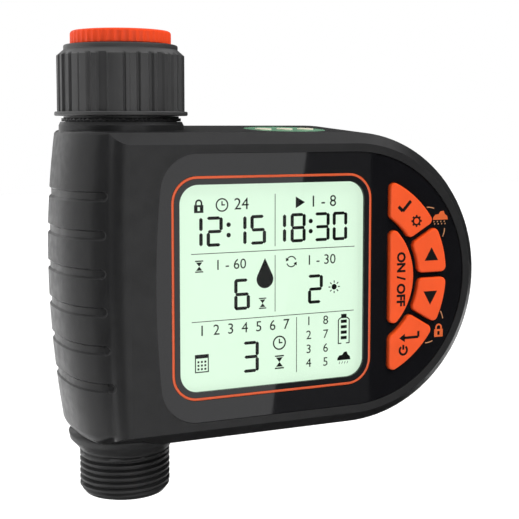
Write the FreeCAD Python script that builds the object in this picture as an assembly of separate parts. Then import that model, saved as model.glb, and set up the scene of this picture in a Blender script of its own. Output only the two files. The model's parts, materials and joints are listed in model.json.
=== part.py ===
import FreeCAD, Part
import math
import os

V = FreeCAD.Vector

# An irrigation timer that hangs from a garden tap. Millimetres.
# The water pipe runs down the Z axis and the mouth of its inlet is at the origin.
# The display faces -Y and the round end of the housing points to +X.

# Clearances
slide_gap = 0.3
seat_gap = 0.1
spin_gap = 0.08
press_gap = 0.05
touch_gap = 0.02
bolt_gap = 0.1

# Pipe threads and waterway: outside radius of each thread
inlet_thread_r = 10.48
union_thread_r = 13.22
outlet_thread_r = 13.22
waterway_r = 7.5
pipe_r = 11.3

# Orange reducer that is screwed into the union nut
reducer_collar_r = 14.5
reducer_collar_height = 3.9
reducer_edge_round = 0.9
reducer_end_bevel = 0.8
reducer_shank_length = 11.0
inlet_thread_length = 11.5

# Union nut
nut_lip_r = 16.4
nut_lip_height = 1.4
nut_bevel_height = 1.7
nut_root_r = 17.5
nut_rib_r = 18.4
nut_rib_length = 15.9
nut_rib_count = 28
nut_rib_foot_share = 0.55
nut_rib_top_share = 0.35
nut_edge_bevel = 0.4
nut_flange_r = 19.2
nut_flange_height = 1.2
nut_collar_height = 3.3

# Stack inside the union nut
washer_thickness = 2.2
washer_r = 12.9
filter_rim = 0.5
filter_depth = 9.0
filter_tip_r = 3.4
filter_wall = 0.6
filter_slots = 8
filter_slot_width = 1.6
filter_edge = 1.4
ring_thickness = 1.1
ring_groove_depth = 0.9
ring_r = 12.8
ring_slot = 2.4

# Neck between the nut and the housing
nut_neck_gap = 0.7
neck_r = 13.6
neck_ring_r = 17.2
neck_ring_height = 0.9
neck_collar_r = 18.0
neck_collar_height = 3.0
neck_collar_bevel = 0.5

# Housing: a block with a half-round end, joined to a barrel grip around the pipe
housing_depth = 50.0
housing_height = 87.3
round_end_x = 64.2
front_bevel = 3.3
back_bevel = 4.0
draft_growth = 1.9
parting_y = 10.0
wall = 2.5
front_wall = 4.5
gasket_land = 0.6
gasket_thickness = 0.9
gasket_end_gap = 1.0
tongue_half_width = 14.0

# Barrel grip: a full oval in plan, nearly as deep as the block, with a valley between the two
grip_r = 20.6
grip_step = 0.8
grip_fullness = 2.6
valley_r = 4.0
block_corner_r = 8.1
corner_end_x = -4.9
corner_follow = 0.8
front_skim = 0.03
join_x = 5.0
grip_waist_drop = 35.5
grip_upper_curve_r = 250.0
grip_lower_curve_r = 290.0
grip_sections = 8
oval_steps = (0.0, 0.08, 0.2, 0.4, 0.6, 0.8, 1.0)
rim_steps = (0.0, 0.15, 0.45, 1.0)
grip_top_step = 0.6
grip_top_round = 1.2
grip_bottom_round = 3.0
groove_count = 6
groove_pitch = 10.58
groove_width = 2.9
groove_depth = 0.6
groove_wrap = 7.8
groove_floor_share = 0.6
groove_reach = 0.5

# Outlet below the housing
outlet_shoulder_r = 16.4
outlet_shoulder_height = 2.0
outlet_shoulder_draft = 0.4
outlet_taper_r = 14.3
outlet_taper_height = 1.8
outlet_root_r = 12.9
outlet_root_height = 1.9
outlet_thread_length = 10.6
outlet_end_bevel = 1.9
outlet_end_draft = 1.5

# Glossy front panel
panel_r = 37.9
panel_left_x = 1.7
panel_left_curve_r = 281.0
panel_corner_r = 11.0
panel_thickness = 2.2
panel_sink = 0.3

# Display
window_x = 37.8
window_size = 58.4
window_corner_r = 5.4
window_front_lip = 0.8
window_flange = 1.0
trim_margin = 2.05
trim_width = 0.9
trim_depth = 0.6
trim_corner_r = 7.2
glass_overlap = 1.5
glass_thickness = 2.0
glass_hole_corner_r = 1.0
holder_margin = 1.0
holder_wall = 2.6
holder_corner_r = 2.0
reflector_thickness = 1.5

# Buttons, laid out on circles about the centre of the round end
key_outer_r = 31.3
key_inner_r = 21.3
key_disc_r = 19.5
key_clip = 11.1
key_split_angle = 30.0
switch_angle = 48.0
key_spacing = 1.7
key_corner_r = 1.7
key_proud = 1.2
key_edge_round = 0.5
key_flange = 0.6
key_flange_thickness = 0.8
key_travel = 0.8
key_gap = 0.2
seal_thickness = 0.6
seal_margin = 1.0
key_bay_margin = 1.2

# Circuit board
board_thickness = 1.6
board_rim = 1.8
board_left_x = 5.0
switch_size = 6.0
switch_height = 3.5
switch_cap_r = 1.6
switch_cap_height = 0.9
pillar_r = 2.6
pillar_x_near = 22.0
pillar_x_far = 62.0

# Screws
screw_r = 1.25
screw_head_r = 2.6
screw_head_height = 1.8
screw_length = 14.0
screw_sink = 3.0
screw_head_bevel = 0.4
cross_width = 0.7
cross_length = 3.2
cross_depth = 0.9
boss_r = 3.1
boss_gap = 0.4
post_root = 0.5
screw_clear = 1.9
near_screws_x = (16.0, 46.0)
far_screws_x = 88.0
far_screw_drop = 28.2
end_screw_x = 102.0
board_screw_length = 5.0
board_pilot_depth = 4.0
board_screw_head_r = 2.2
board_screw_head_height = 1.2

# Valve inside the housing
valve_drop = 31.0
chamber_r = 13.5
chamber_reach = 20.0
chamber_bore_r = 9.6
chamber_depth = 5.0
port_r = 2.4
port_offset = 7.0
bowl_overlap = 0.4
seat_r = 4.0
seat_wall = 1.4
diaphragm_thickness = 1.2
diaphragm_hub_r = 5.4
diaphragm_hub_height = 1.4
diaphragm_margin = 0.2
pilot_hole_r = 0.6
lid_room_height = 2.0
bonnet_thickness = 4.4
bonnet_screw_circle_r = 11.6
bonnet_screw_r = 0.95
bonnet_screw_head_r = 1.7
bonnet_screw_head_height = 1.0
bonnet_screw_length = 8.0
bonnet_pilot_depth = 6.0
bonnet_screws = 4
bonnet_screw_angle = 45.0
coil_r = 8.4
coil_length = 15.4
bobbin_flange = 1.2
winding_drop = 0.5
coil_plug = 1.0
plunger_r = 2.4
plunger_travel = 1.6
plunger_tip_bevel = 0.5
yoke_thickness = 1.2
yoke_size = 18.6

# Seals round the pipe where it leaves the housing
pipe_seal_section = 1.6

# Battery tray at the back
cell_r = 7.25
cell_length = 49.2
cell_nub_r = 2.7
cell_nub_height = 1.3
cell_gap = 0.5
cell_edge_bevel = 0.5
tray_wall = 1.4
tray_plate_width = 39.0
tray_plate_height = 61.0
tray_plate_thickness = 2.8
tray_plate_corner_r = 4.0
tray_web = 3.5
tray_proud = 0.4
tray_seal_width = 1.4
tray_seal_setback = 0.6
tray_seal_reach = 1.0
tray_edge_round = 0.8
tray_rail_width = 1.2
tray_rail_height = 5.0
contact_thickness = 0.4
contact_width = 9.0
contact_slack = 0.35
bay_wall = 1.6
scoop_r = 9.0
scoop_depth = 2.6
scoop_half_height = 12.0
scoop_rib = 4.0
blade_width = 3.0
blade_thickness = 0.4
blade_reach = 4.0
blade_inset = 3.0
blade_rise = 10.0

# Rain sensor on top of the housing
sensor_x = 49.1
sensor_y = -7.0
sensor_r = 12.4
sensor_board_thickness = 1.0
sensor_pad_r = 2.5
sensor_pad_pitch = 7.05
sensor_pad_height = 0.25
sensor_sink = 0.1

# Levels down the pipe, worked out from the heights above
nut_top_z = -reducer_collar_height - seat_gap
nut_bevel_z = nut_top_z - nut_lip_height
nut_shoulder_z = nut_bevel_z - nut_bevel_height
nut_flange_z = nut_shoulder_z - nut_rib_length
nut_bottom_z = nut_flange_z - nut_flange_height
nut_collar_z = nut_bottom_z + nut_collar_height
neck_ring_z = nut_bottom_z - nut_neck_gap
neck_top_z = neck_ring_z - neck_ring_height - seat_gap
housing_top_z = neck_top_z - neck_collar_height
round_end_r = housing_height / 2
middle_z = housing_top_z - round_end_r
housing_bottom_z = middle_z - round_end_r
outlet_shoulder_z = housing_bottom_z - seat_gap
outlet_taper_z = outlet_shoulder_z - outlet_shoulder_height
outlet_root_z = outlet_taper_z - outlet_taper_height
outlet_thread_z = outlet_root_z - outlet_root_height
outlet_bevel_z = outlet_thread_z - outlet_thread_length
outlet_end_z = outlet_bevel_z - outlet_end_bevel
reducer_end_z = -reducer_collar_height - reducer_shank_length
filter_top_z = reducer_end_z - seat_gap
washer_top_z = filter_top_z - filter_rim - seat_gap
spigot_top_z = washer_top_z - washer_thickness - seat_gap
ring_top_z = nut_collar_z + slide_gap + ring_thickness
valve_z = housing_top_z - valve_drop

# Display stack and what stands beside it
trim_size = window_size + 2 * trim_margin
glass_size = window_size + 2 * glass_overlap
holder_size = glass_size + 2 * holder_margin
pillar_drop = holder_size / 2 + slide_gap + pillar_r
board_r = pillar_drop + board_rim
near_screw_drop = holder_size / 2 + slide_gap + boss_r + screw_clear

# Levels through the housing, front to back; the pipe runs midway
front_y = -housing_depth / 2
back_y = housing_depth / 2
bevel_end_y = front_y + front_bevel
panel_front_y = front_y + panel_sink
panel_back_y = panel_front_y + panel_thickness
key_flange_y = panel_back_y + key_gap
floor_back_y = key_flange_y + key_flange_thickness + key_travel + key_gap
glass_front_y = panel_back_y + seat_gap
glass_back_y = glass_front_y + glass_thickness
seal_back_y = floor_back_y + seal_thickness
board_front_y = seal_back_y + key_gap + switch_height
board_back_y = board_front_y + board_thickness

# Battery tray sizes that follow from its cells
cell_spacing = 2 * cell_r + cell_gap
cell_total = cell_length + cell_nub_height
well_width = 2 * cell_spacing + cell_gap
well_height = cell_total + 2 * (contact_thickness + contact_slack)
tray_width = well_width + 2 * tray_wall
tray_height = well_height + 2 * tray_wall
tray_plate_y = back_y + tray_proud - tray_plate_thickness
tray_floor_y = tray_plate_y - tray_web
cell_y = tray_floor_y - cell_gap - cell_r
tray_inner_y = cell_y - cell_r - cell_gap
bay_width = tray_width + 2 * slide_gap
bay_height = tray_height + 2 * slide_gap
bay_floor_y = tray_inner_y - slide_gap

# Where the housing screws go, as x and height above the middle
screw_places = [(x, side * near_screw_drop) for x in near_screws_x for side in (1, -1)]
screw_places += [(far_screws_x, far_screw_drop), (far_screws_x, -far_screw_drop), (end_screw_x, 0.0)]

far = 200.0
out = "parts"
os.makedirs(out, exist_ok=True)


def save(name, shape):
    solids = shape.Solids
    part = solids[0] if len(solids) == 1 else Part.makeCompound(solids)
    part.exportStep(os.path.join(out, name + ".step"))
    valid = all(s.isValid() for s in solids)
    print(name, len(solids), round(part.Volume, 1), "valid" if valid else "NOT VALID")


# Plain shapes

def box(x0, x1, y0, y1, z0, z1):
    return Part.makeBox(x1 - x0, y1 - y0, z1 - z0, V(x0, y0, z0))


def rod_x(radius, x0, x1, y, z):
    return Part.makeCylinder(radius, x1 - x0, V(x0, y, z), V(1, 0, 0))


def rod_y(radius, y0, y1, x, z):
    return Part.makeCylinder(radius, y1 - y0, V(x, y0, z), V(0, 1, 0))


def rod_z(radius, z0, z1, x=0.0, y=0.0):
    return Part.makeCylinder(radius, z1 - z0, V(x, y, z0), V(0, 0, 1))


def turned(profile):
    points = [V(r, 0, z) for r, z in profile]
    face = Part.Face(Part.makePolygon(points + points[:1]))
    return face.revolve(V(0, 0, 0), V(0, 0, 1), 360)


def turned_x(profile, y, z):
    points = [V(x, y, z + r) for x, r in profile]
    face = Part.Face(Part.makePolygon(points + points[:1]))
    return face.revolve(V(0, y, z), V(1, 0, 0), 360)


def rounded_plate(x, z, width, height, corner, y0, y1):
    plate = box(x - width / 2, x + width / 2, y0, y1, z - height / 2, z + height / 2)
    upright = [e for e in plate.Edges if is_along_y(e)]
    return plate.makeFillet(corner, upright)


def is_along_y(edge):
    a = edge.Vertexes[0].Point
    b = edge.Vertexes[-1].Point
    return abs(a.x - b.x) < 1e-6 and abs(a.z - b.z) < 1e-6 and abs(a.y - b.y) > 1e-6


def lies_at_y(edge, y):
    return all(abs(v.Point.y - y) < 1e-6 for v in edge.Vertexes)


def union(shapes):
    first = shapes[0]
    return first.fuse(shapes[1:]).removeSplitter() if len(shapes) > 1 else first


def cut_all(shape, tools):
    return shape.cut(tools) if tools else shape


# Housing outside form

def round_end_wire(radius, left, y):
    """Flat top and bottom, half-round end to the right, straight to the left."""
    cx = round_end_x
    cz = middle_z
    top = V(cx, y, cz + radius)
    right = V(cx + radius, y, cz)
    bottom = V(cx, y, cz - radius)
    half = radius * math.sqrt(0.5)
    upper_arc = Part.Arc(top, V(cx + half, y, cz + half), right).toShape()
    lower_arc = Part.Arc(right, V(cx + half, y, cz - half), bottom).toShape()
    edges = [Part.makeLine(V(left, y, cz + radius), top), upper_arc, lower_arc]
    edges.append(Part.makeLine(bottom, V(left, y, cz - radius)))
    edges.append(Part.makeLine(V(left, y, cz - radius), V(left, y, cz + radius)))
    return Part.Wire(edges)


def profile(inset):
    """Top, bottom and half-round end with the front and back bevels and the draft, drawn in by inset."""
    sections = [(front_y, -front_bevel), (bevel_end_y, 0.0)]
    sections += [(parting_y, draft_growth), (back_y - back_bevel, 0.0), (back_y, -back_bevel)]
    wires = [round_end_wire(round_end_r + grow - inset, -far, y) for y, grow in sections]
    return Part.makeLoft(wires, True, True)


def grip_radius(z):
    waist = housing_top_z - grip_waist_drop
    curve = grip_upper_curve_r if z > waist else grip_lower_curve_r
    return grip_r - curve + math.sqrt(curve * curve - (z - waist) ** 2)


def on_grip(a, b, turn):
    """Point on the full oval of the grip and the way it faces; a across, b front to back."""
    across = math.cos(turn) ** (2 / grip_fullness)
    along = math.copysign(abs(math.sin(turn)) ** (2 / grip_fullness), turn)
    way = V(-across ** (grip_fullness - 1) / a, 0, 0)
    way.y = -math.copysign(abs(along) ** (grip_fullness - 1) / b, turn)
    return V(-a * across, -b * along, 0), way.normalize()


def oval_arc(a, b, z, turn):
    """Left part of the oval, from the back round to the front."""
    steps = [-step for step in reversed(oval_steps)] + list(oval_steps[1:])
    places = [on_grip(a, b, turn * step) for step in steps]
    tangents = [V(-way.y, way.x, 0) for _, way in places]
    curve = Part.BSplineCurve()
    curve.interpolate(Points=[point + V(0, 0, z) for point, _ in places], Tangents=tangents,
                      TangentFlags=[True] * len(steps))
    return curve.toShape()


def valley_turn(a, b, corner, corner_r, radius):
    """Angle on the oval at which a round valley of this radius also touches the corner of the block."""
    low = 0.0
    high = math.pi / 2
    for _ in range(40):
        turn = (low + high) / 2
        centre = valley_centre(a, b, turn, radius)
        if (centre - corner).Length > corner_r + radius:
            low = turn
        else:
            high = turn
    return turn


def valley_centre(a, b, turn, radius):
    point, way = on_grip(a, b, turn)
    return point + way * radius


def plan_wire(z, inset, drawn):
    """Plan at one level: grip, valleys and rounded corners of the block, closed off inside the block.

    The corners run a hair past the front and back faces, which cut them off flat.
    """
    a = grip_radius(z) - inset - drawn
    b = housing_depth / 2 - grip_step - inset - drawn
    corner_r = block_corner_r - corner_follow * (grip_r - grip_radius(z))
    corner = V(corner_end_x, front_y - front_skim + corner_r, 0)
    corner_r -= inset
    radius = valley_r + inset
    turn = valley_turn(a, b, corner, corner_r, radius)
    centre = valley_centre(a, b, turn, radius)
    on_oval = on_grip(a, b, turn)[0]
    towards = (centre - corner).normalize()
    on_corner = corner + towards * corner_r
    dip = centre + ((on_oval + on_corner) / 2 - centre).normalize() * radius
    bulge = corner + (towards + V(0, -1, 0)).normalize() * corner_r
    flat = corner - V(0, corner_r, 0)
    end = V(join_x, flat.y, 0)
    points = [p + V(0, 0, z) for p in (on_oval, dip, on_corner, bulge, flat, end)]
    front = [Part.Arc(*points[:3]).toShape(), Part.Arc(*points[2:5]).toShape(), Part.makeLine(*points[4:])]
    back = [edge.mirror(V(0, 0, 0), V(0, 1, 0)) for edge in reversed(front)]
    seam = Part.makeLine(points[5], V(end.x, -end.y, z))
    return Part.Wire(back + [oval_arc(a, b, z, turn)] + front + [seam])


def rim_levels(radius):
    """Depths along a rounded rim, each with how far the rim has drawn in there."""
    depths = [radius * step for step in rim_steps]
    return [(depth, radius - math.sqrt(radius ** 2 - (radius - depth) ** 2)) for depth in depths]


def left_end(inset):
    """Grip with its valleys and the block's corners: two rounded rims and the long part between them."""
    low = housing_bottom_z + inset
    top = housing_top_z + grip_top_step - inset
    low_rim = [(low + depth, drawn) for depth, drawn in rim_levels(grip_bottom_round)]
    top_rim = [(top - depth, drawn) for depth, drawn in reversed(rim_levels(grip_top_round))]
    first = low_rim[-1][0]
    last = top_rim[0][0]
    middle = [(first + (last - first) * i / grip_sections, 0.0) for i in range(grip_sections + 1)]
    lofts = []
    for levels in (low_rim, middle, top_rim):
        lofts.append(Part.makeLoft([plan_wire(z, inset, drawn) for z, drawn in levels], True, False))
    return lofts[0].fuse(lofts[1:])


def outline(inset):
    """The whole housing without its collar, drawn in all round by inset."""
    block = box(join_x - 1, far, front_y - 1, back_y + 1, -far, 0)
    return profile(inset).common(block.fuse(left_end(inset))).removeSplitter()


def oval_half(a, b, z):
    arc = oval_arc(a, b, z, math.pi / 2)
    return Part.Wire([arc, Part.makeLine(V(0, -b, z), V(0, b, z))])


def finger_groove(z):
    """Tools for one shallow groove round the outside of the grip, with sloping sides and round ends."""
    a = grip_radius(z)
    b = housing_depth / 2 - grip_step
    floor = groove_width / 2 * groove_floor_share
    mouth = groove_width / 2 + groove_reach
    rise = groove_depth * groove_reach / (groove_width / 2 - floor)
    around = rise + 1
    rings = [oval_half(a + around, b + around, z + side * mouth) for side in (-1, 1)]
    outside = Part.makeLoft(rings, True, True)
    levels = [(z - mouth, -rise), (z - floor, groove_depth), (z + floor, groove_depth), (z + mouth, -rise)]
    core = Part.makeLoft([oval_half(a - depth, b - depth, level) for level, depth in levels], True, True)
    turn = math.acos((1 - groove_wrap / a) ** (grip_fullness / 2))
    rim, out_of = on_grip(a, b, turn)
    corners = [V(0, 0, 0), rim - out_of * rim.x, rim + out_of * far]
    corners += [V(p.x, -p.y, 0) for p in reversed(corners[1:])]
    corners = [p + V(0, 0, z - far) for p in corners]
    wedge = Part.Face(Part.makePolygon(corners + corners[:1])).extrude(V(0, 0, 2 * far))
    tools = [outside.cut(core).common(wedge)]
    for side in (1, -1):
        way = V(out_of.x, side * out_of.y, 0)
        foot = V(rim.x, side * rim.y, z) - way * groove_depth
        tools.append(Part.makeCone(floor, mouth, groove_depth + rise, foot, way))
    return tools


def groove_levels():
    first = middle_z + groove_pitch * (groove_count - 1) / 2
    return [first - groove_pitch * i for i in range(groove_count)]


def housing_outside():
    collar = turned([(0, housing_top_z), (neck_collar_r, housing_top_z),
                     (neck_collar_r, neck_top_z - 2 * neck_collar_bevel),
                     (neck_collar_r - neck_collar_bevel, neck_top_z), (0, neck_top_z)])
    body = outline(0.0).fuse(collar).removeSplitter()
    for z in groove_levels():
        body = body.cut(finger_groove(z))
    return body


def housing_inside():
    slab = box(-far, far, front_y + front_wall, back_y - wall, -far, 0)
    return outline(wall).common(slab)


def tongue():
    """Space beside the pipe that the back shell fills when the shells close."""
    half = tongue_half_width
    top = box(-half, half, 0, parting_y, housing_top_z - wall - 1, neck_top_z + 1)
    under = housing_bottom_z - draft_growth - 1
    low = box(-half, half, 0, parting_y, under, housing_bottom_z + wall + 1)
    return top.fuse(low)


# Front panel outline

def panel_prism(grow, y0, y1):
    radius = panel_r + grow
    body = Part.Face(round_end_wire(radius, -far, y0)).extrude(V(0, y1 - y0, 0))
    curve = panel_left_curve_r + grow
    body = body.common(rod_y(curve, y0, y1, panel_left_x - grow + curve, middle_z))
    corners = [e for e in body.Edges if is_along_y(e) and e.BoundBox.XMax < window_x]
    return body.makeFillet(panel_corner_r + grow, corners)


# Buttons

def key_prism(outline, y0, y1, corner):
    body = Part.Face(Part.Wire(outline)).extrude(V(0, y1 - y0, 0))
    return body.makeFillet(corner, [e for e in body.Edges if is_along_y(e)])


def on_disc(radius, angle, y):
    a = math.radians(angle)
    return V(round_end_x + radius * math.cos(a), y, middle_z + radius * math.sin(a))


def beside_ray(radius, angle, shift, y):
    """Point on a circle, a given distance to the left of the ray at this angle."""
    return on_disc(radius, angle + math.degrees(math.asin(shift / radius)), y)


def ring_key(first, last, grow, y0, y1):
    """A slice of the button ring; last is None where the straight side cuts it off."""
    outer = key_outer_r + grow
    inner = key_inner_r - grow
    gap = key_spacing / 2 - grow
    a = beside_ray(inner, first, gap, y0)
    b = beside_ray(outer, first, gap, y0)
    if last is None:
        clip = key_clip - grow
        outer_end = math.degrees(math.acos(clip / outer))
        inner_end = math.degrees(math.acos(clip / inner))
    else:
        outer_end = last - math.degrees(math.asin(gap / outer))
        inner_end = last - math.degrees(math.asin(gap / inner))
    c = on_disc(outer, outer_end, y0)
    d = on_disc(inner, inner_end, y0)
    middle = (first + outer_end) / 2
    outer_arc = Part.Arc(b, on_disc(outer, middle, y0), c).toShape()
    inner_arc = Part.Arc(d, on_disc(inner, middle, y0), a).toShape()
    outline = [Part.makeLine(a, b), outer_arc, Part.makeLine(c, d), inner_arc]
    return key_prism(outline, y0, y1, key_corner_r + grow)


def flipped(shape):
    return shape.mirror(V(0, 0, middle_z), V(0, 0, 1))


def disc_key(grow, y0, y1):
    radius = key_disc_r + grow
    end = math.degrees(math.acos((key_clip - grow) / radius))
    top = on_disc(radius, end, y0)
    low = on_disc(radius, -end, y0)
    arc = Part.Arc(low, on_disc(radius, 0, y0), top).toShape()
    return key_prism([arc, Part.makeLine(top, low)], y0, y1, key_corner_r + grow)


def key_shapes(grow, y0, y1):
    upper = ring_key(key_split_angle, None, grow, y0, y1)
    middle = ring_key(0.0, key_split_angle, grow, y0, y1)
    shapes = {"button_ok": upper, "button_up": middle}
    shapes["button_down"] = flipped(middle)
    shapes["button_esc"] = flipped(upper)
    shapes["button_manual"] = disc_key(grow, y0, y1)
    return shapes


def key_switch_places():
    ring = (key_outer_r + key_inner_r) / 2
    places = [(ring, switch_angle), (ring, key_split_angle / 2)]
    places += [(ring, -key_split_angle / 2), (ring, -switch_angle)]
    places.append(((key_clip + key_disc_r) / 2, 0.0))
    return [on_disc(r, a, 0) for r, a in places]


def key_bay(grow, y0, y1):
    """Opening behind the panel that all the button flanges share."""
    disc = rod_y(key_outer_r + key_bay_margin + grow, y0, y1, round_end_x, middle_z)
    left = round_end_x + key_clip - key_bay_margin - grow
    return disc.common(box(left, far, y0, y1, -far, 0))


# Housing shells

def battery_bay(grow, y0, y1):
    x = round_end_x
    return box(x - bay_width / 2 - grow, x + bay_width / 2 + grow, y0, y1,
               middle_z - bay_height / 2 - grow, middle_z + bay_height / 2 + grow)


def tilt_to_top(shape):
    """Lay a piece made level at the front edge onto the sloping top."""
    run = parting_y - bevel_end_y
    shape.rotate(V(0, bevel_end_y, housing_top_z), V(1, 0, 0), math.degrees(math.atan2(draft_growth, run)))
    return shape


def gasket_ring(inner_inset, outer_inset, y0, y1):
    slab = box(-far, far, y0, y1, -far, 0)
    half = tongue_half_width + gasket_end_gap
    ring = outline(outer_inset).common(slab).cut(outline(inner_inset))
    return ring.cut(box(-half, half, y0 - 1, y1 + 1, -far, 0))


def pipe_hole():
    """Way through both shells for the pipe, with a round seat for the outlet shoulder."""
    under = housing_bottom_z - draft_growth - 2
    seat = rod_z(outlet_shoulder_r + seat_gap, under, housing_bottom_z)
    return rod_z(pipe_r + seat_gap, under, neck_top_z + 2).fuse(seat)


def make_shells():
    outside = housing_outside()
    hollow = outside.cut(housing_inside())
    front_half = box(-far, far, -far, parting_y, -far, 0).cut(tongue())
    back_half = box(-far, far, parting_y, far, -far, 0).fuse(tongue())

    front = hollow.common(front_half)
    root_y = floor_back_y - post_root
    bosses = [rod_y(boss_r, root_y, parting_y, x, middle_z + dz) for x, dz in screw_places]
    pillars = [rod_y(pillar_r, root_y, board_front_y, x, z) for x, z in pillar_places()]
    front = union([front] + bosses + pillars)
    recess = panel_prism(seat_gap, front_y - 1, panel_back_y)
    glass = glass_size + 2 * slide_gap
    glass_hole = rounded_plate(window_x, middle_z, glass, glass, glass_hole_corner_r,
                               front_y, floor_back_y + 1)
    pilots = [rod_y(screw_r + touch_gap, parting_y - screw_length, parting_y + 1, x, middle_z + dz)
              for x, dz in screw_places]
    board_pilots = [rod_y(screw_r + touch_gap, board_front_y - board_pilot_depth, board_front_y + 1, x, z)
                    for x, z in pillar_places()]
    sensor_seat = rod_z(sensor_r + seat_gap, housing_top_z - sensor_board_thickness - sensor_sink,
                        housing_top_z + 5, sensor_x, sensor_y)
    sensor_wires = rod_z(sensor_pad_r, housing_top_z - wall - 3, housing_top_z, sensor_x, sensor_y)
    tools = [recess, glass_hole, key_bay(0.0, front_y, floor_back_y + 1), pipe_hole()]
    tools += pilots + board_pilots + [tilt_to_top(sensor_seat), tilt_to_top(sensor_wires)]
    front = cut_all(front, tools)

    back = hollow.common(back_half)
    well = battery_bay(bay_wall, bay_floor_y - bay_wall, back_y - 1).common(outside)
    ledge = 2 * (slide_gap + bay_wall)
    ledge = rounded_plate(round_end_x, middle_z, tray_plate_width + ledge, tray_plate_height + ledge,
                          tray_plate_corner_r, tray_plate_y - slide_gap - bay_wall, back_y - 1)
    posts = [rod_y(boss_r, parting_y, back_y - 1, x, middle_z + dz).common(outside) for x, dz in screw_places]
    back = union([back, well, ledge.common(outside)] + posts)
    head_y = back_y - screw_sink
    heads = [rod_y(screw_head_r + slide_gap, head_y, back_y + 1, x, middle_z + dz) for x, dz in screw_places]
    shanks = [rod_y(screw_r + seat_gap, parting_y - 1, back_y, x, middle_z + dz) for x, dz in screw_places]
    plate_hole = rounded_plate(round_end_x, middle_z, tray_plate_width + 2 * slide_gap,
                               tray_plate_height + 2 * slide_gap, tray_plate_corner_r + slide_gap,
                               tray_plate_y - slide_gap, back_y + 1)
    groove_end = parting_y + gasket_thickness + seat_gap
    groove = gasket_ring(wall - gasket_land, gasket_land, parting_y, groove_end)
    tools = [battery_bay(0.0, bay_floor_y, back_y + 1), plate_hole, pipe_hole(), groove]
    tools += heads + shanks + [blade_slot(side) for side in (-1, 1)]
    back = cut_all(back, tools)
    save("front_shell", front)
    save("back_shell", back)
    margin = gasket_land + seat_gap
    save("shell_gasket", gasket_ring(wall - margin, margin, parting_y, parting_y + gasket_thickness))


def pillar_places():
    return [(x, middle_z + side * pillar_drop) for x in (pillar_x_near, pillar_x_far) for side in (-1, 1)]


def make_housing_screws():
    head_y = back_y - screw_sink
    screws = []
    for x, dz in screw_places:
        z = middle_z + dz
        shank = rod_y(screw_r, parting_y - screw_length + 1, head_y, x, z)
        head = rod_y(screw_head_r, head_y, head_y + screw_head_height, x, z)
        top_y = head_y + screw_head_height
        head = head.makeChamfer(screw_head_bevel, [e for e in head.Edges if lies_at_y(e, top_y)])
        short = cross_width / 2
        long = cross_length / 2
        floor_y = top_y - cross_depth
        upright = box(x - short, x + short, floor_y, back_y, z - long, z + long)
        level = box(x - long, x + long, floor_y, back_y, z - short, z + short)
        screws.append(shank.fuse(head).cut([upright, level]))
    save("housing_screws", Part.makeCompound(screws))


# Front panel and display

def make_panel():
    panel = panel_prism(0.0, panel_front_y, panel_back_y)
    lip_y = panel_front_y + window_front_lip
    wide = window_size + 2 * window_flange + 2 * seat_gap
    hole = rounded_plate(window_x, middle_z, window_size, window_size, window_corner_r,
                         panel_front_y - 1, lip_y)
    rebate = rounded_plate(window_x, middle_z, wide, wide, window_corner_r + window_flange,
                           lip_y, panel_back_y + 1)
    keys = list(key_shapes(slide_gap, panel_front_y - 1, panel_back_y + 1).values())
    panel = cut_all(panel, [hole, rebate, trim_ring(0.0, panel_front_y - 1)] + keys)
    save("front_panel", panel)

    inner = window_size - 2 * touch_gap
    boss = rounded_plate(window_x, middle_z, inner, inner, window_corner_r, panel_front_y, lip_y)
    flange = rounded_plate(window_x, middle_z, wide - 2 * seat_gap, wide - 2 * seat_gap,
                           window_corner_r + window_flange - seat_gap, lip_y, panel_back_y)
    save("display_window", boss.fuse(flange).removeSplitter())
    save("display_trim", trim_ring(touch_gap, panel_front_y))


def trim_ring(inset, y0):
    y1 = panel_front_y + trim_depth - inset
    outer = trim_size + trim_width - 2 * inset
    inner = trim_size - trim_width + 2 * inset
    outer_r = trim_corner_r + trim_width / 2 - inset
    inner_r = trim_corner_r - trim_width / 2 + inset
    ring = rounded_plate(window_x, middle_z, outer, outer, outer_r, y0, y1)
    return ring.cut(rounded_plate(window_x, middle_z, inner, inner, inner_r, y0 - 1, y1 + 1))


def make_display():
    glass = box(window_x - glass_size / 2, window_x + glass_size / 2, glass_front_y, glass_back_y,
                middle_z - glass_size / 2, middle_z + glass_size / 2)
    save("display_glass", glass)
    inner = holder_size - 2 * holder_wall
    pocket_r = holder_corner_r / 2
    holder = rounded_plate(window_x, middle_z, holder_size, holder_size, holder_corner_r,
                           glass_back_y, board_front_y)
    pocket = rounded_plate(window_x, middle_z, inner, inner, pocket_r, glass_back_y - 1, board_front_y + 1)
    save("display_holder", holder.cut(pocket))
    sheet = inner - 2 * seat_gap
    reflector = rounded_plate(window_x, middle_z, sheet, sheet, pocket_r - seat_gap, glass_back_y,
                              glass_back_y + reflector_thickness)
    save("display_reflector", reflector)


# Circuit board, switches and seal

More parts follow.
